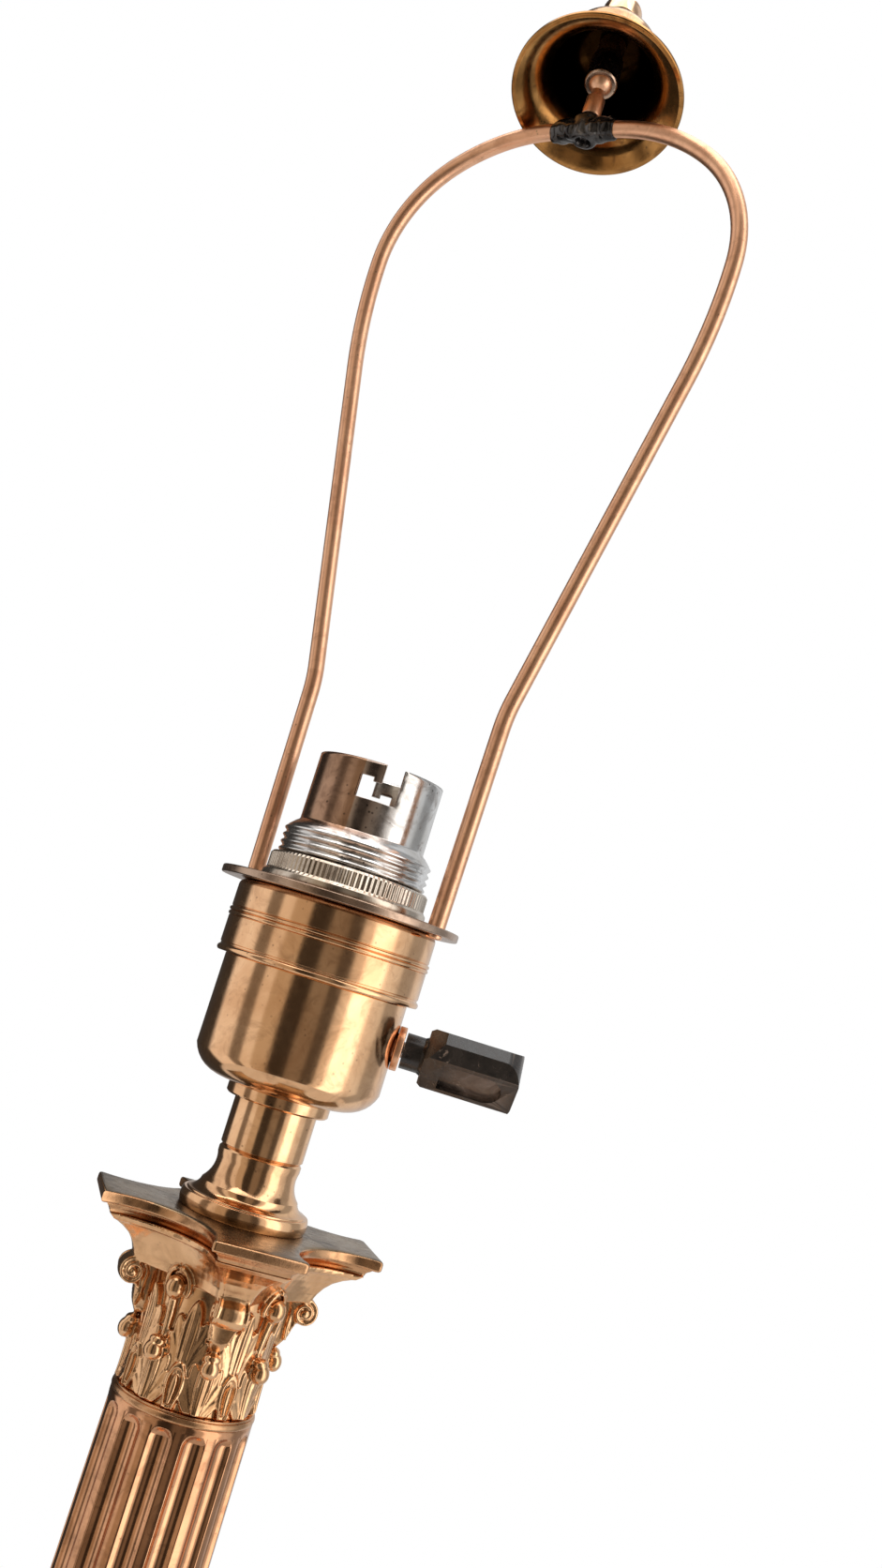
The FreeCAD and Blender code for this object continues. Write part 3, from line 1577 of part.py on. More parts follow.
make_felt()
make_plinth()
make_weight()
make_cord_bush()
make_pedestal()
make_tie()
make_column_base()
make_shaft()
make_astragal()
make_capital()
make_abacus()
make_neck()
make_housing()
make_cap()
make_barrel()
make_insulator()
make_plungers()
make_springs()
make_key_bush()
make_key()
make_spindle_and_rotor()
make_switch_base()
make_switch_contacts()
make_harp_plate()
make_harp_rods()
make_boss()
make_shade_ring()
make_stem()
make_socket()
make_cup()
make_finial()
doc.recompute()

for item in doc.Objects:
    if "Invalid" in item.State or "Error" in item.State:
        raise RuntimeError(f"{item.Name} could not be built: {item.State}")
for label, item in nodes.items():
    if item.Shape.isNull() or not item.Shape.isValid() or item.Shape.Volume <= 0:
        raise RuntimeError(f"{label} has no valid solid")
    item.Shape.exportStep(f"parts/{label}.step")
print(f"{len(nodes)} pieces written")
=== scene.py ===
"""The looks of the column table lamp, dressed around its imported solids.

Lengths are in millimetres and become metres where a mesh is made.
"""

import json
import math

import bmesh
import bpy
import numpy as np
from mathutils import Matrix, Quaternion, Vector, noise


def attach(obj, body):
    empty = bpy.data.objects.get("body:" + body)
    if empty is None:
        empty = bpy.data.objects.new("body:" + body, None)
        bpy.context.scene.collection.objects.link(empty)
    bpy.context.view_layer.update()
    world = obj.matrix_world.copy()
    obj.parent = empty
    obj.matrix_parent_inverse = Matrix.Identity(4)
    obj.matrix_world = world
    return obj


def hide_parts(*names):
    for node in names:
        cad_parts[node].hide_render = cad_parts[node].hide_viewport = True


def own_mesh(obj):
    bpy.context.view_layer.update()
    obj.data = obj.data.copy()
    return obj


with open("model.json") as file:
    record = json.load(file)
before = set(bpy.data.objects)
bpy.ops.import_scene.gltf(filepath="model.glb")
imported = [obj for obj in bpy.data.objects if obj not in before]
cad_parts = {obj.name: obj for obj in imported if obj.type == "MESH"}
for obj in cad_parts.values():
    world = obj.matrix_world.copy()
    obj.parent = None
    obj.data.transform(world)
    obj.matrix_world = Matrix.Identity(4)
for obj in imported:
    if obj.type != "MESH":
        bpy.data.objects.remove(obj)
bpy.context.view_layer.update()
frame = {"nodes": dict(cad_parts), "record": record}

BODY_OF = {node: body for body, nodes in frame["record"]["behaviour"]["bodies"].items() for node in nodes}
SLOT_OF = {part["node"]: part["material_slot"] for part in frame["record"]["subparts"]}

MM = 0.001


def span(node):
    """The heights of a node's lowest and highest points."""
    heights = [vertex.co.z / MM for vertex in frame["nodes"][node].data.vertices]
    return round(min(heights), 2), round(max(heights), 2)


BARREL, BARREL_TOP = span("holder_barrel")
HARP_FOOT = span("harp_plate")[1]
BOSS = sum(span("harp_boss")) / 2
HARP_HEIGHT = BOSS - HARP_FOOT
# The height of the key's axis and of the middle of the swivel's ball.
KEY = 356.8
BALL = 552.8

KEY_AZIMUTH = math.radians(30)
KEY_ROLL = math.radians(-45)
SLOT_AZIMUTH = math.radians(-45)
CUP_TILT = math.radians(22)
CUP_AZIMUTH = math.radians(124)


# -------- shapes


def level(height):
    return Matrix.Translation((0, 0, height))


TILTED = level(BALL) @ Matrix.Rotation(
    CUP_TILT, 4, Vector((-math.sin(CUP_AZIMUTH), math.cos(CUP_AZIMUTH), 0))
)


def arc(start, end, bulge, count=8):
    """Points of an arc after its start, bulging to the right of the way there."""
    start = Vector(start)
    end = Vector(end)
    way = (end - start).normalized()
    right = Vector((way.y, -way.x)) * math.copysign(1, bulge)
    length = (end - start).length
    radius = (length**2 / 4 + bulge**2) / (2 * abs(bulge))
    half = 2 * math.atan(2 * abs(bulge) / length)
    centre = (start + end) / 2 - right * (radius - abs(bulge))
    points = []
    for number in range(1, count + 1):
        angle = half * (2 * number / count - 1)
        points.append(centre + right * radius * math.cos(angle) + way * radius * math.sin(angle))
    return points


def sweep(centre, radius, start, end, steps):
    """Points of an arc about a centre, from one angle in degrees to another."""
    angles = [math.radians(start + (end - start) * step / steps) for step in range(steps + 1)]
    return [Vector(centre) + Vector((math.cos(angle), math.sin(angle))) * radius for angle in angles]


def rounded_corner(first, corner, last, steps):
    """Points of a curve from first to last that a corner pulls towards it."""
    shares = [step / steps for step in range(steps + 1)]
    return [first * (1 - t) ** 2 + corner * 2 * t * (1 - t) + last * t**2 for t in shares]


def traced(points, closed=True):
    """A polyline from points (across, up) and arcs (across, up, bulge)."""
    line = []
    for number, point in enumerate(points):
        if len(point) == 3:
            line += arc(points[number - 1][:2], point[:2], point[2])
        else:
            line.append(Vector(point))
    if closed and (line[0] - line[-1]).length < 1e-6:
        line.pop()
    return line


def softened(line, radius, closed=True):
    """The polyline with its corners rounded, except where it meets the axis."""
    gentlest_corner = math.radians(22)
    most_of_a_side = 0.42
    result = []
    count = len(line)
    for number, point in enumerate(line):
        if not closed and number in (0, count - 1):
            result.append(point)
            continue
        before = line[number - 1] - point
        after = line[(number + 1) % count] - point
        turn = math.pi - before.angle(after)
        if turn < gentlest_corner or point.x < 1e-6:
            result.append(point)
            continue
        shorter = min(before.length, after.length)
        reach = min(radius * math.tan(turn / 2), most_of_a_side * shorter)
        first = point + before.normalized() * reach
        last = point + after.normalized() * reach
        result += rounded_corner(first, point, last, 4)
    return result


def strip_faces(rows, columns, closed=False):
    """The quads of rows of points round an axis. A closed strip joins its last row to its first."""
    faces = []
    for row in range(rows if closed else rows - 1):
        here = row * columns
        there = (row + 1) % rows * columns
        for column in range(columns):
            other = (column + 1) % columns
            faces.append((here + column, here + other, there + other, there + column))
    return faces


def placed(name, data):
    """A new object in the scene."""
    item = bpy.data.objects.new(name, data)
    bpy.context.collection.objects.link(item)
    return item


def make_mesh(name, points, faces, place, sharp=40):
    """A smooth-shaded mesh object from points in millimetres, with edges above an angle sharp."""
    mesh = bpy.data.meshes.new(name)
    mesh.from_pydata([MM * (place @ Vector(point)) for point in points], [], faces)
    work = bmesh.new()
    work.from_mesh(mesh)
    bmesh.ops.remove_doubles(work, verts=work.verts, dist=2e-6)
    bmesh.ops.recalc_face_normals(work, faces=work.faces)
    work.to_mesh(mesh)
    work.free()
    mesh.shade_smooth()
    if sharp:
        mesh.set_sharp_from_angle(angle=math.radians(sharp))
    return placed(name, mesh)


def joined(pieces):
    """The points and faces of several pieces as those of one."""
    points = []
    faces = []
    for piece_points, piece_faces in pieces:
        start = len(points)
        points += piece_points
        faces += [tuple(index + start for index in face) for face in piece_faces]
    return points, faces


def revolved(line, segments, closed=False, shape=None):
    """Points and faces of a line turned about the upright axis. shape(radius, height, angle)
    gives the radius where the piece isn't quite round."""
    points = []
    for point in line:
        for number in range(segments):
            angle = 2 * math.pi * number / segments
            radius = shape(point.x, point.y, angle) if shape else point.x
            points.append((radius * math.cos(angle), radius * math.sin(angle), point.y))
    return points, strip_faces(len(line), segments, closed)


def tube(route, radius, segments):
    """A round tube along a route that lies in an upright plane through the axis or nearly so.
    Its radius is a length, or a function of the share of the way."""
    nearly_level = Vector((0.0137, 1, 0.0211))
    points = []
    count = len(route)
    for number, point in enumerate(route):
        way = (route[min(number + 1, count - 1)] - route[max(number - 1, 0)]).normalized()
        aside = way.cross(nearly_level).normalized()
        other = way.cross(aside)
        here = radius(number / (count - 1)) if callable(radius) else radius
        for segment in range(segments):
            angle = 2 * math.pi * segment / segments
            points.append(point + (aside * math.cos(angle) + other * math.sin(angle)) * here)
    faces = strip_faces(count, segments)
    for start, hub in ((0, route[0]), ((count - 1) * segments, route[-1])):
        points.append(hub)
        for segment in range(segments):
            faces.append((start + segment, start + (segment + 1) % segments, len(points) - 1))
    return points, faces


def ball(centre, radius, stretch=(1, 1, 1)):
    rows = 14
    points = []
    for row in range(rows + 1):
        polar = math.pi * row / rows
        for column in range(2 * rows):
            angle = math.pi * column / rows
            x = stretch[0] * math.sin(polar) * math.cos(angle)
            y = stretch[1] * math.sin(polar) * math.sin(angle)
            points.append(Vector(centre) + radius * Vector((x, y, stretch[2] * math.cos(polar))))
    return points, strip_faces(rows + 1, 2 * rows)


def applied(item):
    """The item with its modifiers worked into its mesh."""
    graph = bpy.context.evaluated_depsgraph_get()
    mesh = bpy.data.meshes.new_from_object(item.evaluated_get(graph))
    item.modifiers.clear()
    item.data = mesh
    return item


def bevelled(item, width, limit=30, segments=3):
    """Round the item's edges and settle the shading of its flats."""
    bevel = item.modifiers.new("bevel", "BEVEL")
    bevel.width = width * MM
    bevel.segments = segments
    bevel.limit_method = "ANGLE"
    bevel.angle_limit = math.radians(limit)
    bevel.harden_normals = False
    item.modifiers.new("normals", "WEIGHTED_NORMAL").keep_sharp = False
    item.data.shade_smooth()
    return applied(item)


def cast_together(name, pieces, place, voxel, smooth):
    """One smooth skin over several closed pieces that overlap."""
    points, faces = joined(pieces)
    mesh = bpy.data.meshes.new(name)
    mesh.from_pydata([MM * (place @ Vector(point)) for point in points], [], faces)
    item = placed(name, mesh)
    remesh = item.modifiers.new("skin", "REMESH")
    remesh.mode = "VOXEL"
    remesh.voxel_size = voxel * MM
    relax = item.modifiers.new("relax", "SMOOTH")
    relax.factor = 0.5
    relax.iterations = smooth
    applied(item)
    item.data.shade_smooth()
    return item


def copied(node):
    """A new mesh with the shape of a node, its split corners joined and its flats merged."""
    work = bmesh.new()
    work.from_mesh(frame["nodes"][node].data)
    bmesh.ops.remove_doubles(work, verts=work.verts, dist=2e-6)
    bmesh.ops.dissolve_limit(work, angle_limit=math.radians(1), verts=work.verts, edges=work.edges)
    mesh = bpy.data.meshes.new(f"{node}_look")
    work.to_mesh(mesh)
    work.free()
    mesh.materials.clear()
    return placed(f"{node}_look", mesh)


def painted(item, name, value):
    """Paint a value on the mesh, from each point in millimetres and its normal."""
    layer = item.data.attributes.new(name, "FLOAT", "POINT")
    for vertex, entry in zip(item.data.vertices, layer.data):
        entry.value = value(vertex.co * 1000, vertex.normal)


def dress(item, node, material=None):
    """Let the item stand for a node, on the node's body. Its finish is the slot's or another."""
    item.data.materials.clear()
    item.data.materials.append(material or BY_SLOT[SLOT_OF[node]])
    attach(item, BODY_OF[node])
    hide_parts(node)


def turned(node, outline, place, fillet, segments, shape=None, sharp=40):
    """A turned piece for a node, from its closed outline."""
    points, faces = revolved(softened(traced(outline), fillet), segments, True, shape)
    return make_mesh(f"{node}_look", points, faces, place, sharp)


def dress_turned(node, outline, fillet, segments=96, place=None, material=None):
    """Dress a node in a turned piece that stands at the node's foot, or in another place."""
    dress(turned(node, outline, place or level(span(node)[0]), fillet, segments), node, material)


# -------- materials


class Tree:
    """A node tree in the making. An input takes a number, a colour or another node's output."""

    def __init__(self, owner):
        owner.use_nodes = True
        self.tree = owner.node_tree
        self.tree.nodes.clear()

    def feed(self, socket, value):
        if isinstance(value, bpy.types.NodeSocket):
            self.tree.links.new(value, socket)
        elif socket.type == "RGBA":
            grey = isinstance(value, (int, float))
            socket.default_value = (value, value, value, 1) if grey else (*value, 1)
        else:
            socket.default_value = value

    def add(self, kind, inputs=None, **settings):
        """A new node with its settings, and its inputs by name or number."""
        node = self.tree.nodes.new("ShaderNode" + kind)
        for name, value in settings.items():
            setattr(node, name, value)
        for key, value in (inputs or {}).items():
            self.feed(node.inputs[key], value)
        return node

    def ramp(self, value, *stops, interpolation="LINEAR"):
        """A grey or a colour that follows a value through a few stops."""
        node = self.add("ValToRGB", {0: value})
        node.color_ramp.interpolation = interpolation
        elements = node.color_ramp.elements
        while len(elements) < len(stops):
            elements.new(0.5)
        for element, (position, colour) in zip(elements, stops):
            element.position = position
            grey = isinstance(colour, (int, float))
            element.color = (colour, colour, colour, 1) if grey else (*colour, 1)
        return node.outputs[0]

    def mix(self, factor, first, second, way="MIX"):
        inputs = {0: factor, 6: first, 7: second}
        return self.add("Mix", inputs, data_type="RGBA", blend_type=way).outputs[2]

    def times(self, first, second):
        return self.add("Math", {0: first, 1: second}, operation="MULTIPLY").outputs[0]


class Surface(Tree):
    """A material with one shader, and the patterns that its finish is made of."""

    def __init__(self, name):
        self.material = bpy.data.materials.new(name)
        super().__init__(self.material)
        self.shader = self.add("BsdfPrincipled")
        self.add("OutputMaterial", {0: self.shader.outputs[0]})
        self.place = self.add("TexCoord").outputs["Object"]

    def noise(self, scale, detail=4, rough=0.55, distortion=0.0, stretch=None):
        """Clouds, whose place is scaled along each axis where stretch is given."""
        place = self.place
        if stretch:
            place = self.add("Mapping", {"Vector": place, "Scale": stretch}).outputs[0]
        inputs = {"Vector": place, "Scale": scale, "Detail": detail}
        inputs |= {"Roughness": rough, "Distortion": distortion}
        return self.add("TexNoise", inputs).outputs["Fac"]

    def spots(self, scale):
        """The distance to the nearest of many scattered points."""
        return self.add("TexVoronoi", {"Vector": self.place, "Scale": scale}).outputs["Distance"]

    def paint(self, name):
        """A value painted on the mesh."""
        return self.add("Attribute", attribute_name=name).outputs["Fac"]

    def edges(self):
        """Below 0.5 in hollows and above it on edges."""
        return self.add("NewGeometry").outputs["Pointiness"]

    def bump(self, height, depth, strength):
        """Relief of a depth given in millimetres, on top of the relief that there is."""
        node = self.add("Bump", {"Strength": strength, "Distance": depth * MM, "Height": height})
        normal = self.shader.inputs["Normal"]
        if normal.links:
            self.feed(node.inputs["Normal"], normal.links[0].from_socket)
        self.feed(normal, node.outputs[0])

    def coat(self, colour, roughness, **inputs):
        """Feed the shader's inputs, with _ for a space in their names."""
        for name, value in {"Base_Color": colour, "Roughness": roughness, **inputs}.items():
            self.feed(self.shader.inputs[name.replace("_", " ")], value)
        return self.material


def brass(
    name, light, body, dark, rough, tarnish, specks, grain=0.0, scratches=0.4, hollows=False, tint=None
):
    """Old brass: cloudy colour, stains, dark specks and fine scratches. Cast brass is grainy, and its
    hollows may be dark, part patina and part painted shade, with a painted highlight on its edges. A tint
    is a painted value and the colour that multiplies there."""
    n = Surface(name)
    colour = n.mix(n.ramp(n.noise(95, 5, 0.6, 0.6), (0.36, 0.0), (0.62, 1.0)), body, light)
    stain = n.noise(210, 6, 0.65, 1.2)
    colour = n.mix(n.ramp(stain, (0.50, 0.0), (0.50 + 0.22 / tarnish, 1.0)), colour, dark)
    speck = n.ramp(n.spots(760), (0.10, 1.0), (0.2, 0.0))
    speck_here = n.ramp(n.noise(330, 2), (0.5, 0.0), (0.62, 1.0))
    colour = n.mix(n.times(n.times(speck, speck_here), specks), colour, (0.05, 0.035, 0.025))
    fine = n.noise(900, 4, 0.6)
    low, high = rough
    roughness = n.ramp(n.mix(0.45, stain, fine), (0.35, low), (0.66, high))
    if hollows:
        # Dark hollows: part patina, part painted shade. Lighter edges: a painted highlight.
        pointed = n.edges()
        hollow = n.ramp(pointed, (0.40, 1.0), (0.495, 0.0))
        colour = n.mix(n.times(hollow, 0.85), colour, (0.07, 0.04, 0.022))
        edge = n.ramp(pointed, (0.52, 0.0), (0.60, 1.0))
        colour = n.mix(n.times(edge, 0.6), colour, light)
        roughness = n.mix(hollow, roughness, 0.6)
    if tint:
        paint, shade = tint
        colour = n.mix(n.paint(paint), colour, shade, "MULTIPLY")
    lines = n.noise(1500, 3, 0.6, 0.0, (1, 1, 1 if hollows else 0.12))
    n.bump(lines, 0.012, scratches)
    n.bump(n.noise(150, 3, 0.5), 0.05, 0.35)
    if grain:
        n.bump(fine, 0.08, grain)
    return n.coat(colour, roughness, Metallic=1.0)


AGED = brass(
    "aged_brass", (0.72, 0.40, 0.21), (0.50, 0.27, 0.135), (0.20, 0.10, 0.05),
    rough=(0.16, 0.32), tarnish=0.6, specks=0.5, grain=0.25,
)
# Cast brass with dark hollows, part patina and part painted shade, and a painted highlight on its edges.
CAST = brass(
    "cast_brass", (0.88, 0.53, 0.29), (0.68, 0.385, 0.195), (0.36, 0.18, 0.08),
    rough=(0.13, 0.26), tarnish=0.45, specks=0.4, grain=0.06, scratches=0.1, hollows=True,
)
FLUTED = brass(
    "fluted_brass", (0.72, 0.37, 0.20), (0.50, 0.25, 0.13), (0.22, 0.10, 0.05),
    rough=(0.07, 0.18), tarnish=0.6, specks=0.4, grain=0.03, scratches=0.12,
)
# A darker brass for the abacus's upward faces: a painted dark reflection, with heavier tarnish and specks.
DULL = brass(
    "dull_brass", (0.34, 0.24, 0.145), (0.22, 0.15, 0.09), (0.07, 0.046, 0.027),
    rough=(0.20, 0.38), tarnish=0.9, specks=1.0, grain=0.1,
)
POLISHED = brass(
    "polished_brass", (0.90, 0.55, 0.31), (0.76, 0.43, 0.225), (0.34, 0.165, 0.08),
    rough=(0.07, 0.19), tarnish=0.35, specks=0.45, scratches=0.2,
)
SILVERY = brass(
    "worn_brass", (0.72, 0.63, 0.54), (0.52, 0.42, 0.33), (0.24, 0.16, 0.11),
    rough=(0.14, 0.34), tarnish=0.7, specks=0.9, scratches=0.3,
)
COPPERY = brass(
    "copper_brass", (0.96, 0.55, 0.34), (0.85, 0.45, 0.27), (0.46, 0.22, 0.12),
    rough=(0.30, 0.42), tarnish=0.5, specks=0.4, scratches=0.04,
)
# A darker, duller copper: for the harp plate, and for the ball socket as painted shade.
DULL_COPPER = brass(
    "dull_copper", (0.54, 0.38, 0.28), (0.36, 0.245, 0.18), (0.13, 0.08, 0.055),
    rough=(0.18, 0.34), tarnish=0.6, specks=0.6, scratches=0.1,
)
FITTING = brass(
    "fitting_brass", (0.80, 0.64, 0.38), (0.68, 0.50, 0.28), (0.40, 0.28, 0.15),
    rough=(0.20, 0.34), tarnish=0.3, specks=0.2,
)
# Inside the cup, above its throat, the brass is darkened nearly to black: painted shade.
CUP_BRASS = brass(
    "cup_brass", (0.54, 0.265, 0.085), (0.34, 0.16, 0.048), (0.11, 0.05, 0.018),
    rough=(0.12, 0.26), tarnish=0.8, specks=0.6, scratches=0.1, tint=("soot_and_painted_shade", (0.03, 0.025, 0.02)),
)
# The barrel's brown side is partly wear and partly a painted reflection.
BARREL_BRASS = brass(
    "barrel_brass", (0.78, 0.76, 0.75), (0.58, 0.55, 0.52), (0.22, 0.17, 0.14),
    rough=(0.12, 0.28), tarnish=0.7, specks=0.9, scratches=0.2, tint=("patina_and_painted_reflection", (0.52, 0.315, 0.205)),
)


def blackened():
    n = Surface("blackened")
    soot_and_painted_shade = n.noise(260, 5, 0.65, 0.8)
    bare = (0.75, (0.30, 0.24, 0.18))
    colour = n.ramp(soot_and_painted_shade, (0.40, (0.03, 0.027, 0.026)), (0.60, (0.10, 0.09, 0.085)), bare)
    n.bump(n.noise(200, 2), 0.08, 0.3)
    return n.coat(colour, n.ramp(soot_and_painted_shade, (0.4, 0.10), (0.7, 0.26)), Metallic=0.85)


def ebonite():
    """Black moulding, browner in the key's recess, on its edges and where it is chipped."""
    n = Surface("ebonite")
    mottle = n.noise(240, 5, 0.6, 0.8)
    outside = n.ramp(mottle, (0.35, (0.009, 0.008, 0.008)), (0.7, (0.042, 0.033, 0.028)))
    inside = n.ramp(mottle, (0.35, (0.11, 0.075, 0.058)), (0.65, (0.32, 0.235, 0.19)))
    colour = n.mix(n.paint("recess"), outside, inside)
    rubbed = n.times(n.ramp(n.edges(), (0.52, 0.0), (0.60, 1.0)), 0.6)
    colour = n.mix(rubbed, colour, (0.20, 0.15, 0.12))
    chips = n.ramp(n.noise(420, 5, 0.75, 1.6), (0.62, 0.0), (0.68, 1.0))
    colour = n.mix(n.times(chips, 0.8), colour, (0.34, 0.25, 0.20))
    n.bump(n.noise(700, 4), 0.05, 0.5)
    return n.coat(colour, n.ramp(mottle, (0.3, 0.14), (0.7, 0.34)))


def porcelain():
    n = Surface("porcelain")
    cloud = n.noise(120, 4)
    colour = n.ramp(cloud, (0.35, (0.74, 0.71, 0.64)), (0.7, (0.85, 0.83, 0.78)))
    n.bump(n.noise(300, 3), 0.05, 0.3)
    return n.coat(colour, n.ramp(cloud, (0.3, 0.16), (0.7, 0.26)))


def steel():
    n = Surface("steel")
    grain = n.noise(1400, 3, 0.6, 0.0, (1, 1, 0.1))
    colour = n.ramp(grain, (0.3, (0.40, 0.40, 0.41)), (0.7, (0.62, 0.62, 0.63)))
    n.bump(grain, 0.02, 0.4)
    return n.coat(colour, n.ramp(grain, (0.3, 0.28), (0.7, 0.42)), Metallic=1.0)


def iron():
    n = Surface("iron")
    rust = n.noise(160, 6, 0.65)
    colour = n.ramp(rust, (0.4, (0.07, 0.068, 0.07)), (0.66, (0.15, 0.10, 0.075)))
    n.bump(n.noise(900, 5), 0.3, 0.6)
    return n.coat(colour, n.ramp(rust, (0.3, 0.55), (0.7, 0.85)), Metallic=0.5)


def felt():
    n = Surface("felt")
    fibre = n.noise(2400, 4, 0.7, 1.5)
    colour = n.ramp(fibre, (0.3, (0.028, 0.075, 0.042)), (0.7, (0.07, 0.15, 0.09)))
    n.bump(fibre, 0.3, 0.8)
    return n.coat(colour, n.ramp(fibre, (0.3, 0.9), (0.7, 1.0)), Sheen_Weight=0.4)


BY_SLOT = {
    "aged_brass": AGED, "polished_brass": POLISHED, "worn_brass": SILVERY, "copper_brass": COPPERY,
    "fitting_brass": FITTING, "blackened": blackened(), "ebonite": ebonite(), "porcelain": porcelain(),
    "steel": steel(), "iron": iron(), "felt": felt(),
}


# -------- base and column


def dress_square_pieces():
    for node, width in (("plinth", 0.9), ("pedestal", 0.6)):
        dress(bevelled(copied(node), width), node)


def dress_column_base():
    outline = [
        (9, 0), (20.5, 0), (20.5, 6, 2.4), (19.5, 6), (19.5, 7.2), (17.6, 11.4, -1.1), (17, 11.4),
        (17, 15, 1.5), (16, 15), (16, 16), (9, 16),
    ]
    dress_turned("column_base", outline, 0.3)


FLUTES = 14
FLUTE_RADIUS = 2.368
FLUTE_DEPTH = 1.1
# Half a flute's width at the surface, where its cutting left a slight lip.
FLUTE_EDGE = 2.0
SHAFT_BORE = 10


def flute_depth(off_centre, beyond):
    """How deep a round-bottomed flute is, that far from its middle line or past its end."""
    distance = math.hypot(off_centre, beyond)
    chord = math.sqrt(max(FLUTE_RADIUS**2 - distance**2, 0))
    return max(0.0, chord - (FLUTE_RADIUS - FLUTE_DEPTH))


def dress_shaft():
    """The tapering shaft with its round-ended flutes, and the ring on top of it."""
    low, high = span("column_shaft")
    height = high - low
    foot_radius, taper = 14.4, 1.4
    chamfer = 0.25
    start, end = 3.1, height - 3.1
    round_end = [2.05 * math.sin(math.radians(angle)) for angle in range(0, 91, 10)]
    rows = sorted(
        {0, chamfer, 0.8, 1.5, height - 1.5, height - 0.8, height - chamfer, height}
        | {start - rise for rise in round_end}
        | {end + rise for rise in round_end}
        | {start + (end - start) * step / 16 for step in range(1, 16)}
    )
    half = [0.6, 1.1, 1.5, 1.8, 1.96, 2.04, 2.14]
    across = [-s for s in reversed(half)] + [0] + half
    points = []
    for z in rows:
        radius = foot_radius - taper * z / height
        rounding = 0.2 * (max(0, 1 - z / chamfer) + max(0, 1 - (height - z) / chamfer))
        beyond = max(0, start - z, z - end)
        for flute in range(FLUTES):
            middle = 2 * math.pi * (flute + 0.5) / FLUTES
            for s in across:
                lip = 0.035 * max(0, 1 - abs(abs(s) - FLUTE_EDGE) / 0.12) if beyond < FLUTE_EDGE else 0
                r = radius - rounding - flute_depth(s, beyond) - lip
                angle = middle + s / radius
                points.append((r * math.cos(angle), r * math.sin(angle), z))
    columns = FLUTES * len(across)
    faces = strip_faces(len(rows), columns)
    for first in (0, (len(rows) - 1) * columns):
        bore_start = len(points)
        for x, y, z in points[first : first + columns]:
            scale = SHAFT_BORE / math.hypot(x, y)
            points.append((x * scale, y * scale, z))
        for column in range(columns):
            other = (column + 1) % columns
            faces.append((first + column, first + other, bore_start + other, bore_start + column))
    dress(make_mesh("column_shaft_look", points, faces, level(low), 50), "column_shaft", FLUTED)
    ring = [(10, 0), (12.9, 0), (12.9, 1.15, 0.22), (12.7, 1.2), (12.7, 1.6, 0.1), (10, 1.6)]
    dress_turned("astragal_ring", ring, 0.06)


# -------- capital


def horned_outline(reach, width, hollow):
    """The plan of the abacus: four blunt horns on the diagonals, with hollowed sides between."""
    corners = []
    for number in range(4):
        angle = math.pi / 4 + number * math.pi / 2
        out = Vector((math.cos(angle), math.sin(angle)))
        aside = Vector((-out.y, out.x)) * width / 2
        corners += [out * reach - aside, out * reach + aside]
    line = []
    for number in range(4):
        line += corners[2 * number : 2 * number + 2]
        line += arc(corners[2 * number + 1], corners[(2 * number + 2) % 8], -hollow, 14)[:-1]
    return softened(line, 1.2)


def stacked(levels):
    """Points and faces of a solid from a stack of plans with equal numbers of points."""
    count = len(levels[0][1])
    points = []
    for height, plan in levels:
        points += [(point.x, point.y, height) for point in plan]
    faces = strip_faces(len(levels), count)
    for row, height in ((0, levels[0][0]), (len(levels) - 1, levels[-1][0])):
        points.append((0, 0, height))
        hub = len(points) - 1
        for column in range(count):
            faces.append((row * count + column, row * count + (column + 1) % count, hub))
    return points, faces


def dress_abacus():
    """The moulded plate: each level's height, how far its horns draw back and how hollow it is."""
    mouldings = (
        (0, 2.5, 7.2), (0.12, 2.3, 7.2), (0.35, 2.2, 7.2), (0.6, 2.15, 7.25), (0.9, 1.9, 7.35),
        (1.25, 1.45, 7.6), (1.45, 1.3, 7.7), (1.55, 1.25, 7.7), (1.62, 0.55, 7.9), (1.68, 0.3, 7.95),
        (1.85, 0.1, 8), (2.1, 0, 8), (3.05, 0, 8), (3.35, 0.08, 8), (3.52, 0.25, 8), (3.6, 0.55, 8),
        (3.6, 2.5, 7.2),
    )
    levels = []
    for height, inset, hollow in mouldings:
        levels.append((height, horned_outline(25.8 - inset, 17 - 1.7 * inset, hollow)))
    points, faces = stacked(levels)
    item = make_mesh("abacus_look", points, faces, level(span("abacus")[0]), 55)
    dress(item, "abacus")
    # The upward faces get the darker brass: a painted dark reflection, with heavier tarnish and specks.
    item.data.materials.append(DULL)
    for face in item.data.polygons:
        if face.normal.z > 0.75:
            face.material_index = 1


def eased(value):
    """0 below 0, 1 above 1 and an even curve between."""
    value = np.clip(value, 0, 1)
    return value * value * (3 - 2 * value)


def frond(across, up, foot, tip, half_width, rise, lean=0.0, rim=0.4, vein=0.14):
    """The relief of one round-topped lobe from its foot to its tip: raised at the rim, hollow
    inside, with a vein up its middle. lean lifts its tip off the ground."""
    way = np.array(tip, float) - np.array(foot, float)
    length = np.linalg.norm(way)
    way /= length
    along = ((across - foot[0]) * way[0] + (up - foot[1]) * way[1]) / length
    aside = (across - foot[0]) * way[1] - (up - foot[1]) * way[0]
    widest = 0.62
    outline = np.where(
        along < widest,
        0.52 + 0.48 * eased(along / widest),
        np.sqrt(np.clip(1 - ((along - widest) / (1 - widest)) ** 2, 0, 1)),
    )
    reach = np.abs(aside) / (half_width * outline + 1e-6)
    dish = rise * ((1 - rim) + rim * reach**2)
    height = dish + vein * np.exp(-((aside / 0.35) ** 2)) + lean * along**2
    inside = eased((1 - reach) / 0.3) * eased(along / 0.12)
    return np.where((along > 0) & (along < 1), height * inside, 0.0)


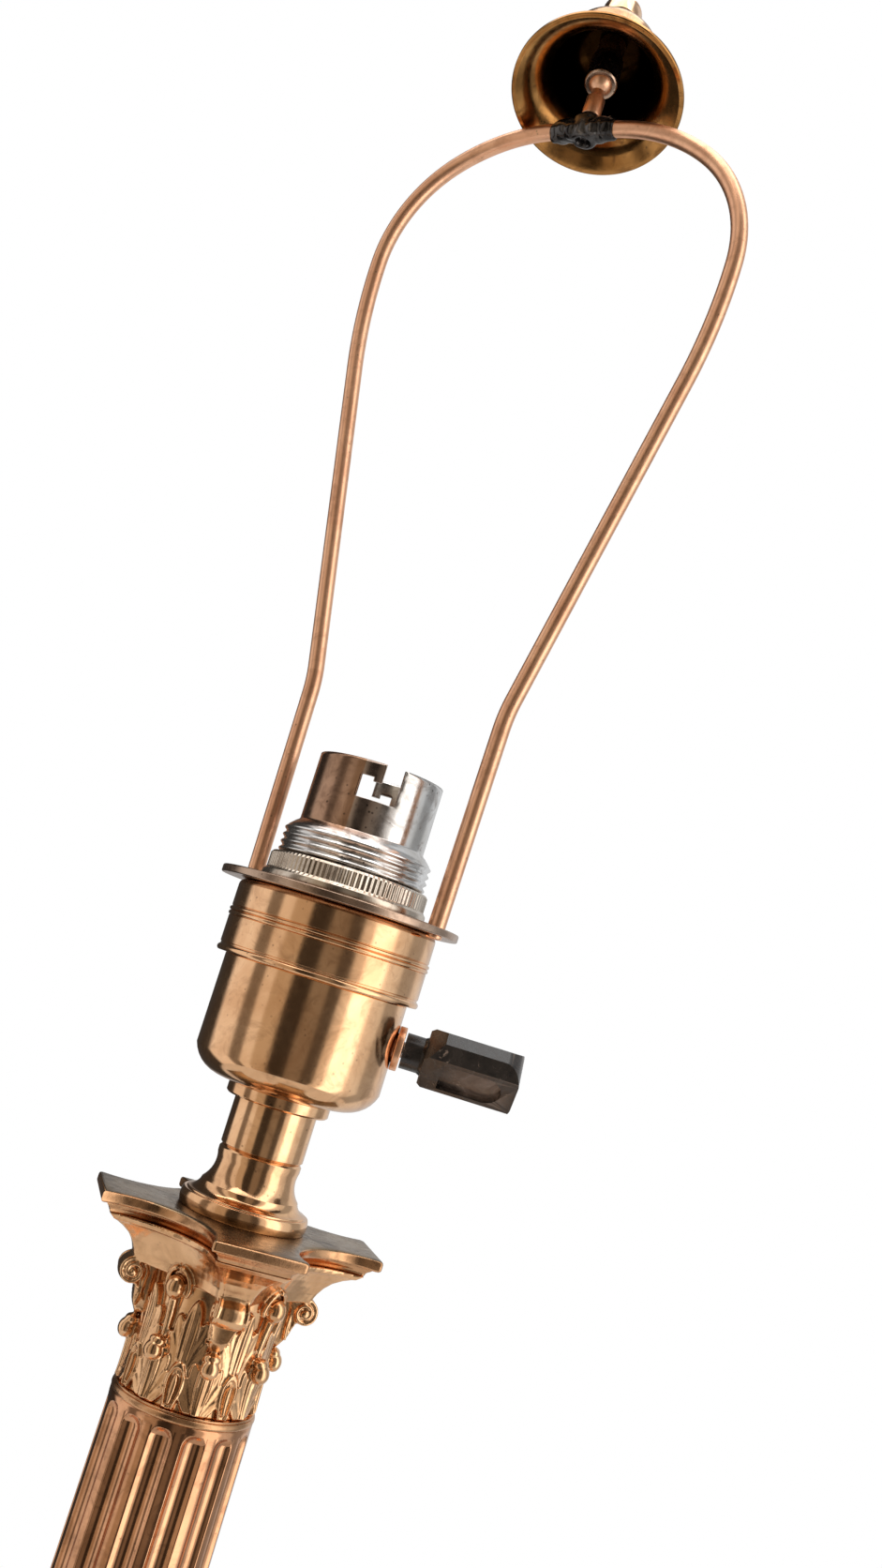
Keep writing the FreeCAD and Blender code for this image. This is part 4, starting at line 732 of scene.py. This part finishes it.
LEAF_SPACING = math.pi / 4
BELL_HEIGHT = 26.9
BELL_BORE = 7
# Heights and radii of the bell under its leaves.
BELL = (
    (0, 11.9), (2, 11.75), (8, 11.5), (14, 11.3), (18, 11.4), (20.5, 11.8), (22.5, 12.5), (24.5, 13.4),
    (26, 14.1), (BELL_HEIGHT, 14.6),
)
# Half a leaf's side lobes: foot, tip, half width and rise.
HIGH_LOBES = (
    ((0.5, 6.0), (2.5, 15.2), 1.35, 0.95),
    ((0.9, 5.0), (3.5, 12.2), 1.15, 0.85),
    ((1.0, 3.5), (4.0, 9.2), 0.95, 0.75),
)
LOW_LOBES = (
    ((0.5, 0.6), (2.3, 8.4), 1.1, 1.1),
    ((0.7, 0.2), (3.1, 5.8), 0.95, 0.95),
    ((0.8, -0.6), (3.3, 3.2), 0.8, 0.85),
)


def from_leaf(turns):
    """How far round the bell a place is from the middle of the nearest leaf."""
    return (turns - np.round(turns)) * LEAF_SPACING * 12.0


def capital_relief(angle, height):
    """How far the leaves stand out from the bell: a low row of eight, a high row between them,
    and an eye-shaped lobe at the foot of each high leaf."""
    low = from_leaf(angle / LEAF_SPACING)
    high = from_leaf(angle / LEAF_SPACING - 0.5)
    relief = np.zeros_like(angle)
    for across, lobes, lean in ((high, HIGH_LOBES, 0.35), (low, LOW_LOBES, 0.3)):
        for side in (-1, 1):
            for (foot, foot_height), (tip, tip_height), half_width, rise in lobes:
                ends = (side * foot, foot_height), (side * tip, tip_height)
                relief = np.maximum(relief, frond(across, height, *ends, half_width, rise, lean))
    relief = np.maximum(relief, frond(high, height, (0, 4.5), (0, 18.2), 1.75, 1.0, 0.75, 0.4, 0.3))
    relief = np.maximum(relief, frond(low, height, (0, -1.5), (0, 10.6), 1.55, 1.35, 0.75, 0.35, 0.4))
    eye = frond(high, height, (0, -1.2), (0, 8.0), 1.9, 1.15, 0.1, 0.0, 0.0)
    socket = frond(high, height, (0, 0.0), (0, 7.0), 1.25, 0.8, 0.0, 0.0, 0.0)
    flame = frond(high, height, (0, 0.6), (0, 6.0), 0.62, 0.75, 0.0, 0.0, 0.15)
    relief = np.maximum(relief, eye - socket + flame)
    notch = 0.9 * np.exp(-((low / 0.75) ** 2) - ((height - 11.7) / 0.6) ** 2)
    return relief - notch


def leafy_bell():
    """The bell with its leaves, as one closed skin."""
    heights = np.linspace(0.0, BELL_HEIGHT, 216)
    angles = np.linspace(0, 2 * math.pi, 721)[:-1]
    angle, height = np.meshgrid(angles, heights)
    radius = np.interp(height, *zip(*BELL)) + capital_relief(angle, height)
    radius = np.where(height < 0.35, np.minimum(radius, 12.3), radius)
    skin = np.stack([radius * np.cos(angle), radius * np.sin(angle), height], -1).reshape(-1, 3)
    columns = len(angles)
    faces = strip_faces(len(heights), columns)
    inner = np.stack([BELL_BORE * np.cos(angles), BELL_BORE * np.sin(angles)], -1)
    bottom = np.hstack([inner, np.full((columns, 1), 0.0)])
    top = np.hstack([inner, np.full((columns, 1), BELL_HEIGHT)])
    points = [Vector(point) for point in np.vstack([skin, bottom, top])]
    low = len(skin)
    last = low - columns
    high = low + columns
    for column in range(columns):
        other = (column + 1) % columns
        faces.append((other, column, low + column, low + other))
        faces.append((last + column, last + other, high + other, high + column))
        faces.append((low + other, low + column, high + column, high + other))
    return points, faces


def in_turn(pieces, turn):
    """The pieces turned about the upright axis."""
    rotation = Matrix.Rotation(turn, 3, "Z")
    return [([rotation @ Vector(point) for point in points], faces) for points, faces in pieces]


SCROLL = Vector((16.0, 18.5))
SCROLL_RADIUS = 2.5


def scroll_body():
    """The outline of a corner piece, seen from its side: the hollow under the horn, the round
    scroll and the stem it grows from."""
    stem = [(10.5, 11.5), (13.0, 11.0), (14.1, 12.8), (14.4, 14.6), (14.6, 15.9)]
    hollow = [(16.75, 21.6), (16.9, 22.6), (17.4, 23.8), (10.5, 23.8)]
    return [*map(Vector, stem), *sweep(SCROLL, SCROLL_RADIUS, -105, 70, 24), *map(Vector, hollow)]


def scroll():
    """A corner piece, crowned across its width, with a raised spiral on both sides."""
    line = scroll_body()
    points = []
    crown = ((1, 0.72), (0.85, 0.86), (0.6, 0.94), (0.3, 0.985), (0, 1))
    layers = [(-share, scale) for share, scale in crown] + list(reversed(crown[:-1]))
    for share, scale in layers:
        for point in line:
            half_width = 1.5 + 1.1 * min(1, max(0, (point.y - 11) / 5))
            place = SCROLL + (point - SCROLL) * scale
            points.append(Vector((place.x, share * half_width, place.y)))
    count = len(line)
    faces = strip_faces(len(layers), count)
    faces += [tuple(range(count)), tuple(reversed(range(len(points) - count, len(points))))]
    pieces = [(points, faces)]
    for side in (-1, 1):
        spiral = [Vector((13.9, side * 1.7, 13.0)), Vector((13.6, side * 2.0, 15.0))]
        for step in range(64):
            t = step / 63
            angle = math.radians(195 - 830 * t)
            radius = 2.4 * (1 - t) ** 0.85 + 0.1
            out = side * (2.1 + 0.7 * min(1, 3 * t))
            across, up = SCROLL.x + radius * math.cos(angle), SCROLL.y + radius * math.sin(angle)
            spiral.append(Vector((across, out, up)))
        pieces += [tube(spiral, 0.36, 8), ball((SCROLL.x, side * 2.7, SCROLL.y), 0.62)]
    return pieces


def bud():
    """A bud on its stalk in the middle of a side, with a hood over it."""
    stalk = [Vector((11.7 + 0.7 * (step / 8) ** 2, 0, 9 + 8.6 * step / 8)) for step in range(9)]
    hood = []
    for step in range(15):
        angle = math.radians(-35 + 250 * step / 14)
        up = 19.6 + 2.75 * math.sin(angle)
        hood.append(Vector((12.0 + 0.16 * max(0, up - 18.5) ** 1.3, 2.5 * math.cos(angle), up)))
    head = ball((12.8, 0, 19.2), 1.85, (1, 1, 1.1))
    return [tube(stalk, lambda t: 0.55 + 0.35 * t, 10), head, tube(hood, 0.5, 8)]


def leaf_tip():
    """The rolled-over tip of a low leaf."""
    return [ball((13.75, 0, 8.5), 1.5, (0.95, 1.1, 1.15)), ball((13.2, 0, 10.1), 1.2, (1, 1.3, 0.8))]


def dress_capital():
    """One casting: the bell, the horned block over it, and the ornament on both."""
    block = []
    for height, reach, width, middle in (
        (20.3, 16.3, 5.2, 11.7), (22.2, 17.1, 5.8, 12.3), (23.6, 17.9, 6.8, 12.9),
        (24.9, 19.0, 8.2, 13.5), (26.0, 20.5, 10.0, 14.1), (26.8, 22.0, 11.8, 14.6),
        (26.9, 22.4, 12.4, 15.2), (27.9, 23.6, 13.6, 15.5),
    ):
        chord = (reach + width / 2) * math.sqrt(0.5)
        block.append((height, horned_outline(reach, width, chord - middle)))
    pieces = [leafy_bell(), stacked(block)]
    for number in range(8):
        pieces += in_turn(leaf_tip(), number * LEAF_SPACING)
    for number in range(4):
        pieces += in_turn(scroll(), math.pi / 4 + number * math.pi / 2)
        pieces += in_turn(bud(), number * math.pi / 2)
    item = cast_together("capital_look", pieces, level(span("capital")[0]), 0.18, 2)
    dress(item, "capital", CAST)


# -------- neck and lampholder


def dress_neck():
    bore = 5.05
    foot = [
        (bore, 0), (11.6, 0), (11.6, 2.8, 0.3), (11, 2.8), (11, 3.1), (9.0, 5.0, -0.45), (7.7, 10.2, -0.75),
        (7.7, 11.1), (7.3, 11.6), (bore, 11.6),
    ]
    dress_turned("neck_foot", foot, 0.22)
    dress_turned("neck", [(bore, 0), (7.3, 0), (7.7, 0.4), (7.7, 9), (bore, 9)], 0.15)
    lock = [(bore, 0), (9.25, 0), (9.6, 0.35), (9.6, 2.15), (9.25, 2.5), (bore, 2.5)]
    dress_turned("lock_ring", lock, 0.2)


def dress_housing():
    housing = [
        (5.05, 0), (10.6, 0), (17.4, 4.4, 1.5), (17.4, 21.3), (16.6, 21.3), (16.6, 25.9), (15.4, 25.9),
        (15.4, 20.1), (16.2, 20.1), (16.2, 5.6), (9.4, 1.2, -1.5), (5.05, 1.2),
    ]
    dress_turned("switch_housing", housing, 0.3, 128, level(span("lock_ring")[1]))
    cap = [
        (16.9, 0), (19, 0), (19, 1.1, 0.3), (18.85, 1.25), (18.85, 1.5), (19, 1.65), (19, 6.5),
        (18.85, 6.6), (19, 7.4, 0.3), (18.9, 7.45), (19, 8.2, 0.3), (18.85, 8.3), (19, 8.45),
        (19, 12.35), (17.7, 13.65, 0.38), (14.5, 13.65), (14.5, 12.25), (16.9, 12.25),
    ]
    dress_turned("holder_cap", cap, 0.12, 128)


BARREL_RADIUS = 12
THREAD_PITCH = 1.35
SLOT_TURNS = (SLOT_AZIMUTH, SLOT_AZIMUTH + math.pi)
SLOT_FLOOR = 22
BARREL_HEIGHT = BARREL_TOP - BARREL
# The parts of a bayonet slot: from where to where round the barrel, and its top.
SLOT_PARTS = ((-1.85, 1.85, BARREL_HEIGHT), (-5.95, -1.85, 25.4), (-5.95, -3.55, 26.2))


def in_slot(angle, height):
    """Whether a place on the barrel lies in one of the two bayonet slots."""
    for turn in SLOT_TURNS:
        across = ((angle - turn + math.pi) % (2 * math.pi) - math.pi) * BARREL_RADIUS
        for low, high, top in SLOT_PARTS:
            if low < across < high and SLOT_FLOOR < height < top:
                return True
    return False


def patina_and_painted_reflection(point, _normal):
    """1 on the browned part of the barrel's tube, 0 on its thread and its bare side. The brown is partly
    wear and partly a painted reflection. turn is in degrees from the slot that the camera sees."""
    turn = math.degrees(math.atan2(point.y, point.x) - SLOT_AZIMUTH + math.pi) % 360 - 180
    browned = min(1, max(0, (12 - turn) / 24)) * min(1, max(0, (turn + 140) / 30))
    lighter = 0.65 if turn > -28 else 1.0
    on_tube = min(1, max(0, (point.z - BARREL - 14) / 1.5))
    return browned * lighter * on_tube


def dress_barrel():
    """The flanged and threaded barrel, its slots left out of the grid that makes its wall."""
    profile = [(13.3, 0), (16.0, 0), (16.2, 0.15), (16.2, 0.85), (16.0, 1.0), (13.7, 1.0)]
    for crest in range(10):
        foot = 1 + crest * THREAD_PITCH
        profile += [(13.75, foot + 0.14), (14.13, foot + 0.5), (14.2, foot + 0.62), (14.2, foot + 0.73)]
        profile += [(14.13, foot + 0.85), (13.75, foot + 1.21)]
    profile += [(13.7, 14.5), (13.3, 14.9), (12.7, 15.5), (12.15, 15.9), (BARREL_RADIUS, 16.2)]
    wall = (17.5, 19, 20.5, 21.6, 22, 22.6, 23.5, 24.6, 25.4, 25.9, 26.2, 26.8, 27.6, 28.4, 28.9, 29)
    profile += [(BARREL_RADIUS, height) for height in wall]
    angles = set(round(2 * math.pi * number / 120, 6) for number in range(120))
    for turn in SLOT_TURNS:
        for edge in (-5.95, -3.55, -1.85, 1.85):
            exact = (turn + edge / BARREL_RADIUS) % (2 * math.pi)
            angles = {angle for angle in angles if abs(angle - exact) > 0.02} | {exact}
    angles = sorted(angles)
    points = [(r * math.cos(angle), r * math.sin(angle), z) for r, z in profile for angle in angles]
    columns = len(angles)
    faces = []
    for face in strip_faces(len(profile), columns):
        row, column = divmod(face[0], columns)
        following = angles[(column + 1) % columns] + (2 * math.pi if column + 1 == columns else 0)
        if not in_slot((angles[column] + following) / 2, (profile[row][1] + profile[row + 1][1]) / 2):
            faces.append(face)
    item = make_mesh("holder_barrel_look", points, faces, level(BARREL), 0)
    thick = item.modifiers.new("wall", "SOLIDIFY")
    thick.thickness = 0.8 * MM
    thick.offset = -1
    bevelled(item, 0.14, 60, 2)
    # Paints the brown side: partly wear, partly a painted reflection.
    painted(item, "patina_and_painted_reflection", patina_and_painted_reflection)
    dress(item, "holder_barrel", BARREL_BRASS)


def knurled(radius, height, angle):
    """The shade ring's radius, with fine ribs round its waist."""
    if radius < 15.05 or height < 2.0 or height > 4.9:
        return radius
    return radius - 0.09 + 0.09 * math.cos(96 * angle)


def dress_ring_and_plate():
    ring = [
        (14.25, 0), (15.5, 0), (15.7, 0.2), (15.7, 1.5, 0.1), (15.45, 1.75), (15.2, 2.1), (15.2, 2.6),
        (15.2, 3.4), (15.2, 4.2), (15.2, 4.75), (14.8, 5.2), (14.25, 5.2),
    ]
    dress(turned("shade_ring", ring, level(HARP_FOOT), 0.12, 576, knurled, 60), "shade_ring")
    plate = [(14.5, 0), (22.8, 0), (22.8, 1.45), (14.5, 1.45)]
    dress_turned("harp_plate", plate, 0.35, 128, material=DULL_COPPER)


# -------- harp


def rod_route():
    """The centre line of the right-hand rod above the plate: straight runs joined by arcs."""
    foot, knee, widest, mouth = map(Vector, ((21, 0), (21.9, 40.5), (40, 132.2), (6.2, HARP_HEIGHT)))
    side_radius, shoulder_radius, knee_radius = 110, 28, 30
    side_centre = widest - Vector((side_radius, 0))
    way = knee - side_centre
    side_angle = math.atan2(way.y, way.x) + math.acos(side_radius / way.length)
    side = sweep(side_centre, side_radius, math.degrees(side_angle), 0, 16)
    before = (foot - knee).normalized()
    after = (side[0] - knee).normalized()
    reach = knee_radius / math.tan(before.angle(after) / 2)
    knee_end = knee + after * reach
    shoulder_centre = widest - Vector((shoulder_radius, 0))
    across, rise = shoulder_centre.x - mouth.x, mouth.y - shoulder_centre.y
    crown_radius = (across**2 + rise**2 - shoulder_radius**2) / (2 * (rise - shoulder_radius))
    crown_centre = mouth - Vector((0, crown_radius))
    out = shoulder_centre - crown_centre
    crown_start = math.degrees(math.atan2(out.y, out.x))
    route = [foot + (knee - foot) * step / 12 for step in range(12)]
    route += rounded_corner(knee + before * reach, knee, knee_end, 8)
    route += [knee_end.lerp(side[0], step / 14) for step in range(1, 14)]
    route += side
    route += sweep(shoulder_centre, shoulder_radius, 0, crown_start, 18)[1:]
    route += sweep(crown_centre, crown_radius, crown_start, 90, 20)[1:]
    return route + [Vector((3.9, HARP_HEIGHT))]


def dress_rods():
    """Both rods, each with its riveted foot under the plate."""
    rivet = [(0, -2.25), (0.9, -2.22), (1.5, -1.9, 0.12), (1.5, -1.45), (1.1, -1.45), (1.1, 0.2), (0, 0.2)]
    rivet_points, rivet_faces = revolved(softened(traced(rivet), 0.1), 32)
    for side, node in ((1, "harp_rod_right"), (-1, "harp_rod_left")):
        line = [Vector((side * point.x, 0, point.y)) for point in rod_route()]
        foot = [Vector(point) + line[0] for point in rivet_points]
        points, faces = joined([tube(line, 1.625, 48), (foot, rivet_faces)])
        dress(make_mesh(f"{node}_look", points, faces, level(HARP_FOOT), 45), node)


def dress_boss():
    """The brazed joint: a flat sleeve round both rod ends and the lumps of braze on it."""
    bar = [Vector((-6.6 + 13.2 * step / 24, 0, 0)) for step in range(25)]

    def swollen(t):
        return 2.0 + 0.6 * math.sin(math.pi * t) ** 0.6 + 0.1 * math.sin(19 * t)

    hub = softened(traced([(0, -2.7), (2.3, -2.7), (2.9, -2.0), (2.9, 2.0), (2.4, 2.7), (0, 2.7)]), 0.8)
    pieces = [tube(bar, swollen, 20), revolved(hub, 40)]
    for x, y, z, radius in (
        (-5.9, -0.5, -0.6, 1.9), (-6.3, -0.6, -1.7, 1.1), (-4.2, -0.8, -0.5, 2.1), (-2.1, -1.3, -0.9, 1.8),
        (2.4, -1.3, -0.8, 1.75), (4.6, -0.4, -0.3, 2.1), (6.2, 0.2, 0.2, 1.75), (-3.2, 1.1, 0.4, 1.7),
        (3.4, 1.0, 0.5, 1.7), (5.3, -0.5, 1.6, 0.9),
    ):
        pieces.append(ball((x, y, z), radius))
    item = cast_together("harp_boss_look", pieces, level(BOSS), 0.2, 6)
    stem_radius, stem_reach = 1.6, 0.0016
    for vertex in item.data.vertices:
        place = vertex.co * 1000
        lump = noise.noise(place * 0.5) * 0.2 + 0.05
        vertex.co += vertex.normal * lump * MM
        off_axis = math.hypot(place.x, place.y)
        if place.z < BOSS and off_axis < stem_radius:
            vertex.co.z += stem_reach * min(1, (stem_radius - off_axis) / 0.5)
    dress(item, "harp_boss")


# -------- swivel, cup and finial


def dress_swivel():
    stem = [(0, -11.2), (1.45, -11.2), (1.45, -8.1), (1.95, -8.1), (1.95, -4.1), (1.35, -3.5), (1.35, -2.4)]
    line = softened(traced(stem, False) + sweep((0, 0), 2.7, -60, 90, 12), 0.2, False)
    points, faces = revolved(line, 48)
    dress(make_mesh("swivel_stem_look", points, faces, level(BALL)), "swivel_stem")
    socket = [
        (2.42, -1.3), (3.05, -1.3), (3.35, -1.0), (3.35, 6.5), (2.8, 7.1), (2.8, 12.6), (1.6, 12.6),
        (1.6, 21.3), (1.3, 21.6), (0, 21.6), (0, 2.75),
    ]
    line = softened(traced(socket, False) + sweep((0, 0), 2.75, 90, -28, 8)[1:-1], 0.2, False)
    points, faces = revolved(line, 48, True)
    # The socket gets the darker copper as painted shade, so that it reads as in shadow in the cup.
    dress(make_mesh("ball_socket_look", points, faces, TILTED), "ball_socket", DULL_COPPER)


def dress_cup():
    outline = [
        (1.65, 12.6), (3.7, 12.6), (9.6, 7.4, -1.5), (10.5, 1.4), (16.6, -5.6, 1.1), (17.5, -5.6),
        (17.5, -4.7), (11.4, 2.3, -1.1), (10.5, 7.85), (4.6, 13.5, 1.5), (1.65, 13.5),
    ]
    item = turned("cup", outline, TILTED, 0.3, 128)
    back = TILTED.inverted()
    # Painted shade inside the cup: from edge above the throat, over fade, the brass darkens nearly to
    # black.
    edge, fade = 0.9, 0.5

    def soot_and_painted_shade(point, normal):
        local = back @ point
        facing = back.to_3x3() @ normal
        inside = facing.x * local.x + facing.y * local.y < 0 or facing.z < -0.5
        return min(1, max(0, (local.z - edge) / fade)) if inside else 0.0

    # Paints the cup's inside shade.
    painted(item, "soot_and_painted_shade", soot_and_painted_shade)
    dress(item, "cup", CUP_BRASS)


def dress_finial():
    washer = [(1.65, 13.5), (5, 13.5), (5, 14.3), (1.65, 14.3)]
    dress_turned("finial_washer", washer, 0.25, 64, TILTED)
    outline = [
        (1.65, 14.3), (3.1, 14.3), (3.3, 14.5), (3.3, 15.2), (3.1, 15.5), (2.6, 15.8), (2.6, 17.5),
        (3.0, 18.2), (4.0, 18.9), (4.35, 19.6), (4.35, 22.6), (4.2, 23.4), (3.6, 24.9, 0.2),
        (2.0, 26.1, 0.25), (0.5, 26.55, 0.1), (0, 26.55), (0, 21.9), (1.65, 21.9),
    ]
    dress_turned("finial", outline, 0.3, 64, TILTED)


# -------- key and small fittings


def dress_key():
    item = bevelled(copied("switch_key"), 0.42, 25)
    turn = Matrix.Rotation(-KEY_ROLL, 4, "X") @ Matrix.Rotation(-KEY_AZIMUTH, 4, "Z")
    back = turn @ level(-KEY)
    start, half_width, half_height = 27, 3.4, 2.75

    def recess(point, _normal):
        local = back @ point
        within = local.x > start and abs(local.y) < half_width and abs(local.z) < half_height
        return 1.0 if within else 0.0

    painted(item, "recess", recess)
    dress(item, "switch_key")


def dress_fittings():
    """Bevelled copies of the plain fittings, and the finish of the solids that stay as they are."""
    for node, width in (
        ("key_bush", 0.18), ("cord_bush", 0.2), ("insulator", 0.3), ("plunger_near", 0.3),
        ("plunger_far", 0.3), ("tie_nut", 0.3), ("nipple_nut", 0.25), ("tie_washer", 0.15),
        ("switch_base", 0.25), ("terminal_blocks", 0.25), ("base_weight", 0.6),
    ):
        dress(bevelled(copied(node), width, 35, 2), node)
    for node in (
        "felt_pad", "tie_tube", "nipple", "key_spindle", "switch_rotor", "rotor_contact", "contact_blades",
        "terminal_screws",
    ):
        for slot in frame["nodes"][node].material_slots:
            slot.material = BY_SLOT[SLOT_OF[node]]


def dress_springs():
    """The plunger springs, each a copy of its solid's mesh."""
    for side in ("near", "far"):
        node = f"plunger_spring_{side}"
        item = placed(f"{node}_look", frame["nodes"][node].data.copy())
        dress(item, node)
        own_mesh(item)


# -------- stage, light and camera


CAMERA_PLACE = Vector((0.14905, -0.2265, 0.36755))
CAMERA_HEADING = -33.9
# The camera's lean from a level view: the axis it leans about, as long as the angle in degrees.
CAMERA_LEAN = (-7.57, -4.11, 17.46)
FOCAL_LENGTH_PIXELS = 1550
PICTURE_HEIGHT_PIXELS = 1672
SENSOR = 36

FLOOR_RADIUS = 0.36
FLOOR_DROP = 0.0003
FLOOR_GLOW = 0.45

# The soft light round the lamp: degrees to the right of the camera, strength and colour.
ROOM = (
    (-180, 0.60, (1.0, 1.0, 1.0)),
    (-165, 0.05, (1.0, 0.95, 0.90)),
    (-122, 0.05, (1.0, 0.92, 0.84)),
    (-112, 0.90, (1.0, 0.98, 0.96)),
    (-84, 0.90, (1.0, 0.98, 0.96)),
    (-78, 0.22, (1.0, 0.90, 0.80)),
    (-66, 0.22, (1.0, 0.90, 0.80)),
    (-61, 0.80, (1.0, 0.95, 0.88)),
    (-51, 0.80, (1.0, 0.95, 0.88)),
    (-46, 0.52, (1.0, 0.86, 0.68)),
    (-30, 0.52, (1.0, 0.86, 0.68)),
    (-25, 0.05, (1.0, 0.84, 0.68)),
    (-7, 0.05, (1.0, 0.84, 0.68)),
    (0, 0.25, (1.0, 0.86, 0.70)),
    (14, 0.25, (1.0, 0.86, 0.70)),
    (20, 0.10, (1.0, 0.86, 0.72)),
    (30, 0.10, (1.0, 0.88, 0.76)),
    (36, 0.80, (1.0, 0.96, 0.90)),
    (44, 0.90, (1.0, 0.96, 0.90)),
    (49, 2.30, (1.0, 0.98, 0.95)),
    (70, 2.20, (1.0, 0.99, 0.97)),
    (79, 0.90, (0.97, 0.99, 1.0)),
    (95, 0.80, (0.94, 0.98, 1.0)),
    (102, 0.42, (0.93, 0.97, 1.0)),
    (122, 0.42, (0.93, 0.97, 1.0)),
    (133, 0.80, (0.95, 0.98, 1.0)),
    (180, 0.60, (1.0, 1.0, 1.0)),
)
BRIGHTEST = 2.5


def make_stage():
    """A pale round floor, which fades into the white backdrop for the camera."""
    angles = np.linspace(0, 2 * math.pi, 97)[:-1]
    rim = [(FLOOR_RADIUS * math.cos(angle), FLOOR_RADIUS * math.sin(angle), 0) for angle in angles]
    mesh = bpy.data.meshes.new("floor")
    mesh.from_pydata(rim, [], [tuple(range(len(rim)))])
    floor = placed("floor", mesh)
    floor.location.z = -FLOOR_DROP
    material = bpy.data.materials.new("floor")
    tree = Tree(material)
    camera_ray = tree.add("LightPath").outputs["Is Camera Ray"]
    paper = tree.add("BsdfDiffuse", {"Color": 0.86})
    glow = tree.add("Emission", {"Strength": tree.times(camera_ray, FLOOR_GLOW)})
    both = tree.add("AddShader", {0: paper.outputs[0], 1: glow.outputs[0]})
    tree.add("OutputMaterial", {0: both.outputs[0]})
    mesh.materials.append(material)


def make_world():
    """A white backdrop for the camera, and round the lamp a room lit from its windows."""
    world = bpy.data.worlds.new("studio")
    bpy.context.scene.world = world
    tree = Tree(world)
    camera_turn = (0, 0, -math.atan2(CAMERA_PLACE.y, CAMERA_PLACE.x))
    way = tree.add("TexCoord").outputs["Generated"]
    way = tree.add("Mapping", {"Vector": way, "Rotation": camera_turn}).outputs[0]
    around = tree.add("TexGradient", {"Vector": way}, gradient_type="RADIAL").outputs["Fac"]
    stops = []
    for degrees, strength, colour in ROOM:
        stops.append(((degrees + 180) / 360, [strength / BRIGHTEST * part for part in colour]))
    room = tree.ramp(around, *stops, interpolation="EASE")
    room = tree.add("VectorMath", {0: room, "Scale": BRIGHTEST}, operation="SCALE").outputs[0]
    camera_ray = tree.add("LightPath").outputs["Is Camera Ray"]
    light = tree.add("Background", {"Color": tree.mix(camera_ray, room, (1, 1, 1))})
    tree.add("OutputWorld", {0: light.outputs[0]})


def make_lamp():
    """A soft panel above, which faces the lamp."""
    lamp = bpy.data.lights.new("ceiling", "AREA")
    lamp.shape = "RECTANGLE"
    lamp.size = lamp.size_y = 0.9
    lamp.energy = 5.0
    place = Vector((-0.1, -0.1, 1.35))
    item = placed("ceiling", lamp)
    item.location = place
    item.rotation_euler = (Vector((0, 0, 0.4)) - place).to_track_quat("-Z", "Y").to_euler()


def make_camera():
    """Where the photograph was taken from, rolled as it was held."""
    camera = bpy.data.cameras.new("camera")
    camera.sensor_fit = "AUTO"
    camera.sensor_width = SENSOR
    camera.lens = FOCAL_LENGTH_PIXELS * SENSOR / PICTURE_HEIGHT_PIXELS
    camera.clip_start = 0.01
    item = placed("camera", camera)
    lean = Vector([math.radians(angle) for angle in CAMERA_LEAN])
    look = Quaternion(lean.normalized(), lean.length).to_matrix()
    level_view = Matrix(((1, 0, 0), (0, 0, -1), (0, 1, 0)))
    heading = Matrix.Rotation(math.radians(CAMERA_HEADING), 3, "Z")
    flip = Matrix(((1, 0, 0), (0, -1, 0), (0, 0, -1)))
    to_camera = flip @ look @ level_view @ heading
    item.matrix_world = Matrix.Translation(CAMERA_PLACE) @ to_camera.transposed().to_4x4()
    bpy.context.scene.camera = item


make_camera()
make_stage()
make_world()
make_lamp()
dress_square_pieces()
dress_column_base()
dress_shaft()
dress_capital()
dress_abacus()
dress_neck()
dress_housing()
dress_barrel()
dress_ring_and_plate()
dress_rods()
dress_boss()
dress_swivel()
dress_cup()
dress_finial()
dress_key()
dress_fittings()
dress_springs()
bpy.context.scene.view_settings.view_transform = "Standard"
